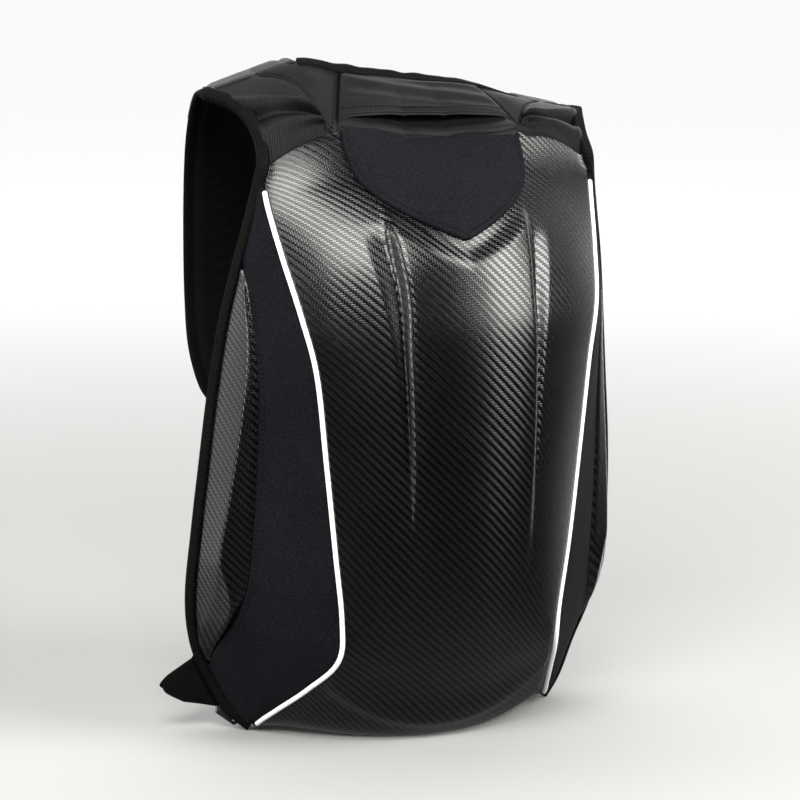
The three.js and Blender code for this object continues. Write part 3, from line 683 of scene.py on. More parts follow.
# Folds of the yoke as height, place and half width, and how they ease out
YOKE_FOLDS = ((5.2, 0.14, 0.12), (-4.6, 0.36, 0.075), (3.4, 0.56, 0.11))
CENTRE_STRIP, CENTRE_HOLLOW, CENTRE_DITCH = (2.2, 0.2, 0.1), (-3.0, 0.42, 0.14), (-0.8, STRIP_SEAM, 0.022)
CENTRE_CREASE, CENTRE_CREASE_RISE, CENTRE_CREASE_SLANT = (-1.1, -0.2, 0.04), (0.22, 0.08), 1.6
YOKE_SLACK, INNER_BELLY, BELLY_RUN = (0.9, 0.5, 0.3), (1.3, 0.6, 0.3), 18
ARM_EASE, ARM_TUCK, ARM_TUCK_RUN, OUTER_UNDER = 14, 1.2, 7, 0.4
YOKE_WEAVE = 110.0
HALF_CENTRE = 66.0
OUTER_LIFT, CENTRE_LIFT = 2.4, 5.2
COVER_FROM, COVER_TO, COVER_ROWS = 0.34, 2.7, 30
COVER_LIFT, COVER_WALL, COVER_TUCK = 0.9, 1.6, 0.03
COVER_SIDES, NECK_STEP, NECK_STEP_RUN = (0.012, 0.995), 0.1, 0.16
HANDLE_FOOT, HANDLE_ARC, HANDLE_HEAD = 0.16, 0.13, 0.96
HANDLE_WIDTH, HANDLE_HEIGHT, HANDLE_GAP = 130.0, 36.0, 0.4
HANDLE_HEM, HANDLE_SEAM = 1.3, 5.0
HANDLE_DITCH = (0.5, HANDLE_SEAM, 0.7)
HANDLE_PULL, HANDLE_PULL_SIDE, HANDLE_PULL_FOOT = 0.55, 14, 8
HANDLE_HEAD_TUCK, HANDLE_HEAD_RUN, HANDLE_INSET = 2.6, 0.2, 0.004
SEAM_THREAD, HANDLE_THREAD = 0.085, 0.1
THREAD_PROUD = 0.25


def yoke_plain(rib, rise):
    """A point up a rib of the yoke from the shell seam, or below it, where the cloth hangs on the shell."""
    rib, rise = np.broadcast_arrays(np.asarray(rib, float), np.asarray(rise, float))
    foot_x, top_x, top_y, top_z, bow_x, bow_z = split(row_at(YOKE, rib))
    out = np.minimum(np.abs(foot_x) / STRIP_HALF, 1)
    sag = np.where(out < 1, seam_arch(np.abs(foot_x) / SHELL[0, 0]) - SEAM_ARCH * out**2, 0) / SEAM_DROP
    foot = shell_plain(np.maximum(-rise, 0) * FOOT_STEP + sag, foot_x)
    rise = np.maximum(rise, 0)[..., None]
    top = np.stack([top_x, top_y, top_z], -1)
    return mix(foot, top, rise) + np.stack([bow_x, 0 * bow_x, bow_z], -1) * bow(rise)


def yoke_out(rib, rise):
    left, right = np.maximum(rib - SLOPE_STEP, LEFT_ARM), np.minimum(rib + SLOPE_STEP, RIGHT_ARM)
    up = yoke_plain(rib, rise + SLOPE_STEP) - yoke_plain(rib, rise - SLOPE_STEP)
    return unit(np.cross(yoke_plain(right, rise) - yoke_plain(left, rise), up))


def yoke_point(rib, rise, proud=0.0):
    rib, rise, proud = np.broadcast_arrays(np.asarray(rib, float), np.asarray(rise, float), proud)
    return yoke_plain(rib, rise) + yoke_out(rib, rise) * proud[..., None]


def rib_on_side(side, rib):
    return rib if side < 0 else RIGHT_ARM - rib


def inner_seam(rise):
    """The rib, counted from the arm hole, of the slanting seam between outer and inner cloth."""
    return LEFT_HANDLE - RIDGE_SEAM_SHIFT * np.maximum(rise, 0) ** RIDGE_SEAM_POWER


def yoke_foot(rib):
    """Where the yoke's cloth starts: at the shell seam, and lower beside the handle on the slumped side."""
    return YOKE_FOOT - DROOP * hump(rib, DROOP_RIB, DROOP_HALF)


def foot_tuck(rise, foot, lift):
    """The cloth's turn into the seam at its foot, and its lift over the shell where it hangs lower."""
    over_shell = lift * ease((YOKE_FOOT - foot) / HANG_EASE) * ease(1 - (rise - foot) / HANG_RISE)
    return over_shell - YOKE_TUCK * hump(rise, foot, YOKE_TUCK_RUN)


def yoke_folds(from_arm, rise):
    """The puffed roll above the shell seam and the fold over it, fanned from the handle to the arm hole."""
    fade = ease((LEFT_HANDLE + FOLD_END - from_arm) / FOLD_FADE)
    fan = (rise - FAN_FOOT) / np.maximum((LEFT_HANDLE + FAN_END - from_arm) / LEFT_HANDLE, FAN_LEAST)
    folds = sum(fold(fan, *row) for row in YOKE_FOLDS)
    slack = np.sin(from_arm * 5.2 + rise * 9) * fold(rise, *YOKE_SLACK)
    return (folds + slack) * fade


def shoulder_cover(word, side, from_arm, proud):
    """The yoke's cloth carried on over the strap's head; beside the strap it ends under the neck tape."""
    place = np.linspace(COVER_FROM, COVER_TO, COVER_ROWS)[:, None]
    settle = np.linspace(1, 0, COVER_ROWS)[:, None] ** 2 * proud
    across = np.broadcast_to(np.clip(from_arm / LEFT_NECK, *COVER_SIDES), settle.shape)
    beside = ease((from_arm - LEFT_NECK + NECK_STEP) / NECK_STEP_RUN)[None, :, None]
    past = 1 + COVER_TUCK * np.linspace(0.1, 1, COVER_ROWS)[:, None]
    layers = []
    for lift, drop in ((COVER_LIFT, 0), (COVER_LIFT - COVER_WALL, YOKE_WALL)):
        top = strap_top(word, side, place, across, settle + lift)
        neck = yoke_point(rib_on_side(side, from_arm)[None, :], past, settle - drop)
        layers.append(mix(top, neck, beside))
    return layers


def yoke_cloth(part, word, side, material, slot, from_arm, rise, proud, under):
    """A cloth of the yoke from its grid and how far its face and its under side stand proud."""
    rib = rib_on_side(side, from_arm)
    over_face, over_back = shoulder_cover(word, side, from_arm[-1], proud[-1])
    face = np.concatenate([yoke_point(rib, rise, proud), over_face])
    back = np.concatenate([yoke_point(rib, rise, under - YOKE_WALL), over_back])
    weave = np.stack([side * face[..., 0], grid(*face.shape[:2])[0] * YOKE_WEAVE], -1)
    name, node = f"yoke_{part}_cloth_{word}", f"yoke_{part}_{word}"
    cloth = add_sheet(name, face, back, material, slot, [node], weave)


def yoke_outer(word, side, material):
    up, over = grid(84, 96)
    foot = yoke_foot(rib_on_side(side, LEFT_HANDLE * over))
    rise = mix(foot, 1.0, up)
    from_arm = inner_seam(rise) * over
    from_tape = from_arm * RIB_STEP
    folds = yoke_folds(from_arm, rise) + foot_tuck(rise, foot, OUTER_LIFT)
    proud = folds * ease((from_tape + 1) / ARM_EASE) - ARM_TUCK * ease(1 - from_tape / ARM_TUCK_RUN)
    proud = proud + dip_towards((inner_seam(rise) - from_arm) * RIB_STEP_SLANT)
    under = np.minimum(proud, OUTER_UNDER)
    yoke_cloth("outer", word, side, material, "nylon_ribbed", from_arm, rise, proud, under)


def yoke_inner(word, side, material):
    rise, over = grid(70, 60)
    start = inner_seam(rise)
    from_arm = mix(start, LEFT_HANDLE, over)
    from_outer, from_handle = (from_arm - start) * RIB_STEP_SLANT, (LEFT_HANDLE - from_arm) * RIB_STEP
    belly = ease(from_outer / BELLY_RUN) * ease(from_handle / BELLY_RUN) * fold(rise, *INNER_BELLY)
    proud = dip_towards(from_outer) + dip_towards(from_handle) + belly
    yoke_cloth("inner", word, side, material, "nylon_plain", from_arm, rise, proud, proud)


def centre_proud(rib, rise, foot):
    """The strip over the patch seam, a crease in it, and the hollow under the handle."""
    off = rib - (LEFT_HANDLE + RIGHT_HANDLE) / 2
    free = 1 - off**2
    strip = fold(rise - foot, *CENTRE_STRIP) * (0.5 + 0.5 * free)
    slanted = off + CENTRE_CREASE_SLANT * (rise - 0.15)
    crease = fold(slanted, *CENTRE_CREASE) * hump(rise, *CENTRE_CREASE_RISE)
    under = fold(rise, *CENTRE_HOLLOW) * free
    ditch = fold(rise - foot, *CENTRE_DITCH)
    seams = foot_tuck(rise, foot, CENTRE_LIFT) + dip_towards((1 - np.abs(off)) * HALF_CENTRE)
    return strip + crease + under + ditch + seams


def yoke_centre(material):
    up, over = grid(110, 130)
    rib = mix(LEFT_HANDLE, RIGHT_HANDLE, over)
    foot = yoke_foot(rib)
    rise = mix(foot, 1.0, up)
    proud = centre_proud(rib, rise, foot)
    face = yoke_point(rib, rise, proud)
    back = yoke_point(rib, rise, np.minimum(proud, 0) - YOKE_WALL)
    weave = np.stack([2 * over - 1, rise], -1) * HALF_CENTRE
    cloth = add_sheet("yoke_centre_cloth", face, back, material, "nylon_plain", ["yoke_centre"], weave)


def handle_rise(over, up):
    """Rise up the ribs of a point of the handle, whose lower edge is an arc."""
    return mix(HANDLE_FOOT + HANDLE_ARC * bow(over), HANDLE_HEAD, up)


def handle_lift(over, up):
    return HANDLE_GAP + HANDLE_LIFT * bow(over) * (1 - up**2)


def grab_handle(material):
    up, over = grid(64, 150)
    rib = mix(LEFT_HANDLE + HANDLE_INSET, RIGHT_HANDLE - HANDLE_INSET, over)
    rise = handle_rise(over, up)
    height = up * HANDLE_HEIGHT
    from_side = np.minimum(over, 1 - over) * HANDLE_WIDTH
    free = ease(from_side / HANDLE_PULL_SIDE) * ease(height / HANDLE_PULL_FOOT)
    pull = HANDLE_PULL * np.sin(height * 0.5 + over * 7) * free
    ditch = fold(height, *HANDLE_DITCH)
    tuck = HANDLE_HEAD_TUCK * ease((up - 1 + HANDLE_HEAD_RUN) / HANDLE_HEAD_RUN)
    lift = handle_lift(over, up) + dip_towards(from_side) + pull - tuck
    face = yoke_point(rib, rise, lift + HANDLE_WALL * quarter_round(height / HANDLE_HEM) - ditch)
    back = yoke_point(rib, rise, lift)
    weave = np.stack([over * HANDLE_WIDTH, height], -1)
    band = add_sheet("grab_handle_cloth", face, back, material, "nylon_plain", ["grab_handle"], weave)


def yoke_stitches(thread):
    lines = []

    def sew(rib, rise, proud):
        lines.append((yoke_point(rib, rise, proud), yoke_out(rib, rise)))

    up_seam = np.linspace(0.06, 0.96, 120)
    for side in SIDES.values():
        for offset in (SEAM_THREAD, -SEAM_THREAD):
            beside = inner_seam(up_seam) + offset
            kept = beside < LEFT_HANDLE - 0.02
            sew(rib_on_side(side, beside[kept]), up_seam[kept], dip_towards(2.4) + THREAD_PROUD)
        by_handle = np.full_like(up_seam, rib_on_side(side, LEFT_HANDLE - HANDLE_THREAD))
        sew(by_handle, up_seam, dip_towards(HANDLE_THREAD * RIB_STEP) + THREAD_PROUD)
    over = np.linspace(0.02, 0.98, 220)
    rib = mix(LEFT_HANDLE, RIGHT_HANDLE, over)
    up = HANDLE_SEAM / HANDLE_HEIGHT
    sew(rib, handle_rise(over, up), handle_lift(over, up) + HANDLE_WALL - THREAD_PROUD)
    foot = yoke_foot(rib)
    sew(rib, foot + STRIP_SEAM, centre_proud(rib, foot + STRIP_SEAM, foot) + 0.2)
    add_stitches("stitching_yoke", lines, thread)


# Ribbed tapes: ribs, section, and for two of them half width, half thickness, place and height of the seam
RIB_PITCH, RIB_HEIGHT = 2.1, 0.36
TAPE_SECTION = np.array([
    [-1.0, -0.55], [-0.8, -0.95], [-0.3, -1.0], [0.3, -1.0], [0.8, -0.95], [1.0, -0.55],
    [1.0, 0.55], [0.8, 0.95], [0.3, 1.0], [-0.3, 1.0], [-0.8, 0.95], [-1.0, 0.55],
])
EDGE_TAPE, HOLE_TAPE = np.array([3.8, 2.9, 1.9, 2.72]), np.array([4.4, 3.5, 2.7, 3.52])
TAPE_OVER_SHOULDER, TAPE_SHOULDER_END = 1.6, 0.4
TAPE_TIP, TAPE_TIP_RUN, TAPE_TIP_TUCK = 0.45, 14.0, 2.2
TAPE_INSET, TAPE_CHANGE = 1.6, 30.0
CORNER_SHARE = 0.1
PATH_PASSES, TURN_PASSES, NECK_PASSES = 12, 400, 6
NECK_WAVES, NECK_WAVE_ENDS = ((0.5, 37, 0), (0.4, 61, 1)), 8
NECK_TAPE, NECK_LIFT, NECK_SEAM, NECK_SEAM_HEIGHT = (4.2, 4.0), 0.4, 2.3, 4.05


def ribbed_tape(path, across, half_width, half_thick, rib_height=RIB_HEIGHT):
    """Rings of a tape along a dense path, with a weave rib every RIB_PITCH."""
    ahead = unit(np.gradient(path, axis=0))
    through = unit(np.cross(ahead, across))
    over = np.cross(through, ahead)
    grow = rib_height * np.abs(np.sin(np.pi * run_along(path) / RIB_PITCH))
    wide, thick = ((half + grow)[:, None, None] for half in (half_width, half_thick))
    section_over, section_through = TAPE_SECTION.T[..., None]
    return path[:, None] + over[:, None] * section_over * wide + through[:, None] * section_through * thick


def dense_path(points, step=0.5):
    run = run_along(points)
    return at_run(points, run, np.linspace(0, run[-1], int(run[-1] / step)))


def smooth_path(points, passes):
    """The same path with its kinks rounded off and its ends kept."""
    for _ in range(passes):
        points = np.concatenate([points[:1], (points[:-2] + 2 * points[1:-1] + points[2:]) / 4, points[-1:]])
    return points


def edge_binding(word, side, material):
    """The tape from the shoulder round the arm hole and down the back edge. Gives its line of stitches."""
    arm, inward = rib_on_side(side, LEFT_ARM), rib_on_side(side, LEFT_ARM + 0.25)
    table = row_at(strap_rows(word, side), np.linspace(TAPE_OVER_SHOULDER, TAPE_SHOULDER_END, 40))
    shoulder = mirrored(table[:, :3], side)
    shoulder_across = unit(mirrored(table[:, 3:6] - table[:, :3], side))
    rise = np.linspace(1.0, 0, 120)
    hole = yoke_point(arm, rise, -YOKE_WALL / 2 * ease(rise * 3))
    hole_across = unit(yoke_plain(inward, rise) - yoke_plain(arm, rise))
    share = np.linspace(0.004, 0.998, 500)
    edge = mirrored(BACK_LINE.at(share), side)
    edge_across = unit(mirrored(SEAM_LINE.at(share), side) - edge)
    edge_across[share < CORNER_SHARE] = edge_across[np.argmax(share >= CORNER_SHARE)]
    points = smooth_path(np.concatenate([shoulder, hole, edge]), PATH_PASSES)
    across = smooth_path(np.concatenate([shoulder_across, hole_across, edge_across]), TURN_PASSES)
    run = run_along(points)
    path = dense_path(points)
    where = np.linspace(0, run[-1], len(path))
    across = unit(at_run(across, run, where))
    corner = run[len(shoulder) + len(hole)]
    on_hole = 1 - ease((where - corner + TAPE_CHANGE) / (2 * TAPE_CHANGE))
    tip = mix(TAPE_TIP, 1.0, ease(where / TAPE_TIP_RUN))
    path = path + across * (TAPE_INSET * on_hole + TAPE_TIP_TUCK * (1 - tip))[:, None]
    wide, thick, seam, height = split(mix(EDGE_TAPE, HOLE_TAPE, on_hole[:, None]))
    rings = ribbed_tape(path, across, wide * tip, thick * tip)
    add_mesh(f"edge_tape_{word}", *loft(rings), material, "grosgrain", [f"edge_binding_{word}"])
    out = unit(np.cross(unit(np.gradient(path, axis=0)), across)) * side
    out = np.where((out[:, :1] * side + 0.6 * out[:, 2:]) < 0, -out, out)
    return path + across * seam[:, None] + out * height[:, None], out


def neck_binding(material):
    """The tape along the neck. Gives its line of stitches."""
    rib = np.linspace(LEFT_NECK + 0.02, RIGHT_NECK - 0.02, 400)
    path = dense_path(smooth_path(yoke_point(rib, 1.0, -YOKE_WALL / 2), NECK_PASSES))
    share = np.linspace(0, 1, len(path))
    rib = np.interp(share, np.linspace(0, 1, len(rib)), rib)
    up = unit(yoke_plain(rib, 1.0) - yoke_plain(rib, 0.9))
    waver = sum(height * np.sin(share * turns + shift) for height, turns, shift in NECK_WAVES)
    waver = waver * ease(share * NECK_WAVE_ENDS) * ease((1 - share) * NECK_WAVE_ENDS)
    path = path + up * (NECK_LIFT + waver)[:, None]
    add_mesh("neck_tape", *loft(ribbed_tape(path, up, *NECK_TAPE)), material, "grosgrain", ["neck_binding"])
    out = yoke_out(rib, np.full_like(rib, 0.95))
    return path - up * NECK_SEAM + out * NECK_SEAM_HEIGHT, out


# Padded straps: their heads' reach into and past the yoke, the sewn flange, the crown and the puckers
STRAP_INTO, STRAP_LEAD, STRAP_FROM = -3.0, 7.0, 0.6
STRAP_FLANGE, STRAP_FLANGE_THICK, STRAP_TIP = 8.0, 4.4, 2.2
STRAP_SHOULDER, STRAP_STEP_RUN = 0.72, 7
STRAP_DITCH, STRAP_DITCH_LEAST = (0.7, STRAP_FLANGE, 1.0), 3
STRAP_PUCKER, STRAP_UNDER_PUCKER, STRAP_PUCKER_FROM = 0.35, 0.7, 60
STRAP_THREAD, STRAP_THREAD_PROUD = {"radius": 0.3}, 0.12
STRAP_WEAVE = 70.0
STRAP_SEWN = slice(12, -8)


def strap_rows(word, side):
    ends = []
    for rib in (rib_on_side(side, LEFT_ARM), rib_on_side(side, LEFT_NECK)):
        long = np.linalg.norm(yoke_plain(rib, 0.0) - yoke_plain(rib, 1.0))
        ends.append([yoke_point(rib, 1 + reach / long, -YOKE_WALL / 2) for reach in (STRAP_INTO, STRAP_LEAD)])
    first = [[abs(o[0]), o[1], o[2], abs(i[0]), i[1], i[2], YOKE_WALL] for o, i in zip(*ends)]
    first[1][0] = (first[0][0] + STRAP_OVER[word][0][0]) / 2
    return np.array([*first, *STRAP_OVER[word], *STRAP_DOWN], float)


def strap_profile(across, width, half):
    """Half thickness over the strap: a thin sewn flange along both edges and a crowned pad between them."""
    from_edge = np.minimum(across, 1 - across) * width
    flange = np.minimum(STRAP_FLANGE_THICK / 2, half) * quarter_round(from_edge / STRAP_TIP)
    crown = half * mix(STRAP_SHOULDER, 1, np.sqrt(np.clip(bow(across), 0, 1)))
    body = mix(flange, crown, ease((from_edge - STRAP_FLANGE + 1) / STRAP_STEP_RUN))
    return body - fold(from_edge, *STRAP_DITCH) * ease(half / STRAP_DITCH_LEAST)


def strap_top(word, side, place, across, lift):
    """A point on the strap's upper face, by place along its rows and share across from its outer edge."""
    rows = strap_rows(word, side)
    middle = lambda at: (row_at(rows, at)[..., :3] + row_at(rows, at)[..., 3:6]) / 2
    table = row_at(rows, place)
    outer, over = table[..., :3], table[..., 3:6] - table[..., :3]
    ahead = unit(middle(place + 0.05) - middle(place - 0.05))
    through = unit(np.cross(ahead, over))
    half = strap_profile(across, np.linalg.norm(over, axis=-1), table[..., 6] / 2)
    return mirrored(outer + over * across[..., None] + through * (half + lift)[..., None], side)


def shoulder_strap(word, side, material, thread):
    rows = strap_rows(word, side)
    table = row_at(rows, np.linspace(STRAP_FROM, len(rows) - 1, 260))
    outer, inner, half_thick = table[:, :3], table[:, 3:6], table[:, 6] / 2
    over = inner - outer
    width = np.linalg.norm(over, axis=1)
    through = unit(np.cross(unit(np.gradient((outer + inner) / 2, axis=0)), over))
    across = (1 - np.cos(np.linspace(0, np.pi, 60))) / 2
    half = strap_profile(across[None, :], width[:, None], half_thick[:, None])
    run = run_along((outer + inner) / 2)[:, None]
    ripples = np.sin(run * 0.55 + 5 * across) * np.sin(np.pi * across)
    pucker = STRAP_PUCKER * ripples * ease(run / STRAP_PUCKER_FROM)
    middle = outer[:, None] + over[:, None] * across[None, :, None]
    top = middle + through[:, None] * (half + pucker)[..., None]
    under = middle - through[:, None] * (half - STRAP_UNDER_PUCKER * pucker)[..., None]
    rings = np.concatenate([top, under[:, -2:0:-1]], axis=1)
    points, faces = loft(mirrored(rings, side))
    round_about = np.concatenate([across, 2 - across[-2:0:-1]]) * STRAP_WEAVE
    weave = np.stack(np.broadcast_arrays(round_about, run), -1).reshape(-1, 2)
    name, node = f"strap_pad_{word}", f"shoulder_strap_{word}"
    piece = add_mesh(name, points, faces, material, "padding", [node], weave=weave)
    lines = []
    for sign in (-1, 1):
        for share in (STRAP_FLANGE / width, 1 - STRAP_FLANGE / width):
            depth = sign * (strap_profile(share, width, half_thick) + STRAP_THREAD_PROUD)
            path = outer + over * share[:, None] + through * depth[:, None]
            lines.append((mirrored(path, side)[STRAP_SEWN], mirrored(sign * through, side)[STRAP_SEWN]))
    add_stitches(f"stitching_strap_{word}", lines, thread, "padding", **STRAP_THREAD)


# Webbing and the folded tabs that hold it
WEBBING_RIB = 0.18
TAB_MOUTH, TAB_REAR_LENGTH = 9.0, 0.62
TAB_CORNER, TAB_CORNER_POWER = 0.24, 2.5
TAB_RIPPLE, TAB_THROAT, TAB_LEAST = 0.7, 0.75, 0.12
TAB_WEAVE = (40.0, 36.0)
TAB_ROWS, TAB_COLUMNS = 40, 81
TAB_SEAM_ROWS, TAB_SEAM_COLUMNS = (22, 28), (24, 14)
TAB_THREAD = {"pitch": 2.2, "length": 1.9}


def strap_webbing(word, side, material):
    route = Line(WEBBING_TOP + WEBBING_DOWN[word])
    path = dense_path(mirrored(route.at(np.linspace(0, 1, 600)), side), 0.6)
    share = np.linspace(0, 1, len(path))
    lean = -side * TAB[word]["lean"] * ease((share - 0.6) / 0.3)
    across = np.stack([np.ones_like(share), np.zeros_like(share), lean], -1)
    rings = ribbed_tape(path, across, WEBBING_WIDTH / 2 - 0.2, WEBBING_THICK / 2 - 0.15, WEBBING_RIB)
    add_mesh(f"webbing_{word}", *loft(rings), material, "grosgrain", [f"strap_webbing_{word}"])


def tab_layer(word, side, out, turn, depth):
    """One face of a tab: out along it and round its fold, at a depth in its wall."""
    hinge, edge = (np.array(TAB[word][key], float) for key in ("fold", "edge"))
    away = np.abs(turn) * np.where(turn > 0, TAB_REAR_LENGTH, 1)
    corner = TAB_CORNER * np.abs(2 * np.abs(turn) - 1) ** TAB_CORNER_POWER
    reach = (out * (1 - corner))[..., None]
    shift = depth * TAB_WALL / np.linalg.norm(hinge[0] - edge[0])
    point = mix(mix(*hinge, reach), mix(*edge, reach), mix(away, 1, shift)[..., None])
    half = TAB_MOUTH / 2 * np.sqrt(away) * mix(TAB_THROAT, 1, out)
    ripple = TAB_RIPPLE * np.sin(out * 6 + away * 4) * ease(away * 4)
    point[..., 1] += np.sign(turn) * np.maximum(half - depth * TAB_WALL, TAB_LEAST * half) + ripple
    return mirrored(point, side)


def anchor_tab(word, side, material, thread):
    out, over = grid(TAB_ROWS, TAB_COLUMNS)
    turn = 2 * over - 1
    face, back = (tab_layer(word, side, out, turn, depth) for depth in (0.0, 1.0))
    weave = np.stack([turn, out], -1) * TAB_WEAVE
    cloth = add_sheet(f"tab_cloth_{word}", face, back, material, "nylon_plain", [f"anchor_tab_{word}"], weave)
    front = face[:, : TAB_COLUMNS // 2]
    outside = unit(front - back[:, : TAB_COLUMNS // 2])
    lines = [(front[row, 4:], outside[row, 4:]) for row in TAB_SEAM_ROWS]
    lines += [(front[6:34, column], outside[6:34, column]) for column in TAB_SEAM_COLUMNS]
    seam = add_stitches(f"stitching_tab_{word}", lines, thread, "nylon_plain", **TAB_THREAD)


# Moulded pieces
MOULD_ROUND, MOULD_ANGLE = 0.9, 40
WELD_REACH = 0.00001


def rounded_copy(node, name, material):
    """A copy of a moulded node with its edges rounded over."""
    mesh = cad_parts[node].data.copy()
    mesh.name = name
    mesh.materials.clear()
    mesh.materials.append(material)
    piece = put(name, mesh)
    weld = piece.modifiers.new("weld", "WELD")
    weld.merge_threshold = WELD_REACH
    bevel = piece.modifiers.new("bevel", "BEVEL")
    bevel.width = MOULD_ROUND * MM
    bevel.segments = 3
    bevel.limit_method = "ANGLE"
    bevel.angle_limit = math.radians(MOULD_ANGLE)
    join_pack(piece, [node])


# Padded back: the cloth's settling in metres, then the pad's form and its sewn channels and border
BACK_VOXEL, BACK_CAP = 0.0045, 0.004
BACK_PRESSURE, BACK_FRAMES = 4.0, 20
BACK_SWELL, BACK_FILL = 0.93, 0.5
PAD_FLARE_HEIGHT = 160.0
PAD_FILL, PAD_REACH, PAD_SINK = 6.5, 3.6, 4.0
PAD_FOOT, PAD_HEAD, PAD_HEAD_DROP, PAD_CORNER_DROP = 4.0, 436.0, 5, 3
FACING_WEARER = 0.2
BACK_BORDER_AT = 15.0
BACK_CHANNEL, BACK_BORDER = (3.2, 52.0, 4.0), (2.4, BACK_BORDER_AT, 3.4)


def back_grid(rows, columns):
    """The pad's inner and outer face, before its cloth settles."""
    top, bottom = BACK_EDGE[0, 2], BACK_EDGE[-1, 2]
    edge_x, edge_y, edge_z = split(BACK_LINE.at(np.linspace(0, 1, rows))[:, None])
    off = np.linspace(-1, 1, columns)[None, :]
    level = (edge_z - bottom) * top / (top - bottom)
    x = (edge_x - EDGE_SETBACK + PAD_REACH) * off
    seam_rise = shell_plain(np.zeros_like(x), x)[..., 2] - top - PAD_HEAD_DROP - PAD_CORNER_DROP * off**2
    seam_rise = seam_rise + PAD_FILL * np.maximum(0, 1 - (x / STRIP_HALF) ** 2)
    flare = BACK_PAD_BOW * (1 - off**2) * ease(level / PAD_FLARE_HEIGHT)
    thick = mix(BACK_PAD, BACK_PAD_EDGE, off**4)
    z = level + seam_rise * (level / top) ** 4

    def layer(share):
        y = edge_y + BINDING_HALF + 1 + flare + share * thick - PAD_SINK * off**6 * (1 - share)
        return np.stack(np.broadcast_arrays(x, y, z), -1)

    return layer(1 - BACK_SWELL), layer(BACK_SWELL)


def vertex_values(mesh, kind="co"):
    values = np.zeros(len(mesh.vertices) * 3, np.float32)
    mesh.vertices.foreach_get(kind, values)
    return values.reshape(-1, 3)


def apply_modifiers(piece):
    graph = bpy.context.evaluated_depsgraph_get()
    mesh = bpy.data.meshes.new_from_object(piece.evaluated_get(graph))
    piece.modifiers.clear()
    piece.data = mesh


def settle_cloth(piece):
    """Remeshes a piece evenly and lets its cloth swell under pressure, by no more than the cap."""
    remesh = piece.modifiers.new("remesh", "REMESH")
    remesh.mode = "VOXEL"
    remesh.voxel_size = BACK_VOXEL
    apply_modifiers(piece)
    cloth = piece.modifiers.new("cloth", "CLOTH")
    cloth.settings.use_pressure = True
    cloth.settings.uniform_pressure_force = BACK_PRESSURE
    cloth.settings.effector_weights.gravity = 0
    cloth.point_cache.frame_end = BACK_FRAMES
    scene = bpy.context.scene
    for step in range(1, BACK_FRAMES + 1):
        scene.frame_set(step)
    moved = vertex_values(piece.evaluated_get(bpy.context.evaluated_depsgraph_get()).to_mesh())
    piece.modifiers.clear()
    scene.frame_set(1)
    rest = vertex_values(piece.data)
    shift = moved - rest
    far = np.linalg.norm(shift, axis=1, keepdims=True)
    rest = rest + shift * np.minimum(1, BACK_CAP / np.maximum(far, 1e-9))
    piece.data.vertices.foreach_set("co", rest.ravel())
    piece.data.update()


def channel_press(x, z):
    """How deep the channels and the border are sewn into the pad's face."""
    order = np.argsort(BACK_EDGE[:, 2])
    half_width = np.interp(z, BACK_EDGE[order, 2], BACK_EDGE[order, 0]) - EDGE_SETBACK
    border = np.minimum.reduce([half_width - np.abs(x), z - PAD_FOOT, PAD_HEAD - z])
    inside = ease((border - BACK_BORDER_AT + 4) / 6)
    return fold(np.abs(x), *BACK_CHANNEL) * inside + fold(border, *BACK_BORDER)


def back_panel(material):
    inner, outer = back_grid(40, 36)
    points, faces = sheet_solid(outer, inner)
    piece = add_mesh("back_pad", points, faces, material, "padding", ["back_panel"])
    settle_cloth(piece)
    subdivide = piece.modifiers.new("smooth", "SUBSURF")
    subdivide.levels = 1
    subdivide.render_levels = 1
    apply_modifiers(piece)
    mesh = piece.data
    co = vertex_values(mesh).astype(float)
    place = co / MM - ORIGIN
    facing_wearer = vertex_values(mesh, "normal")[:, 1] > FACING_WEARER
    co[:, 1] -= channel_press(place[:, 0], place[:, 2]) * MM * facing_wearer
    mesh.vertices.foreach_set("co", co.astype(np.float32).ravel())
    mesh.materials.clear()
    mesh.materials.append(material)
    shade_smooth(mesh)


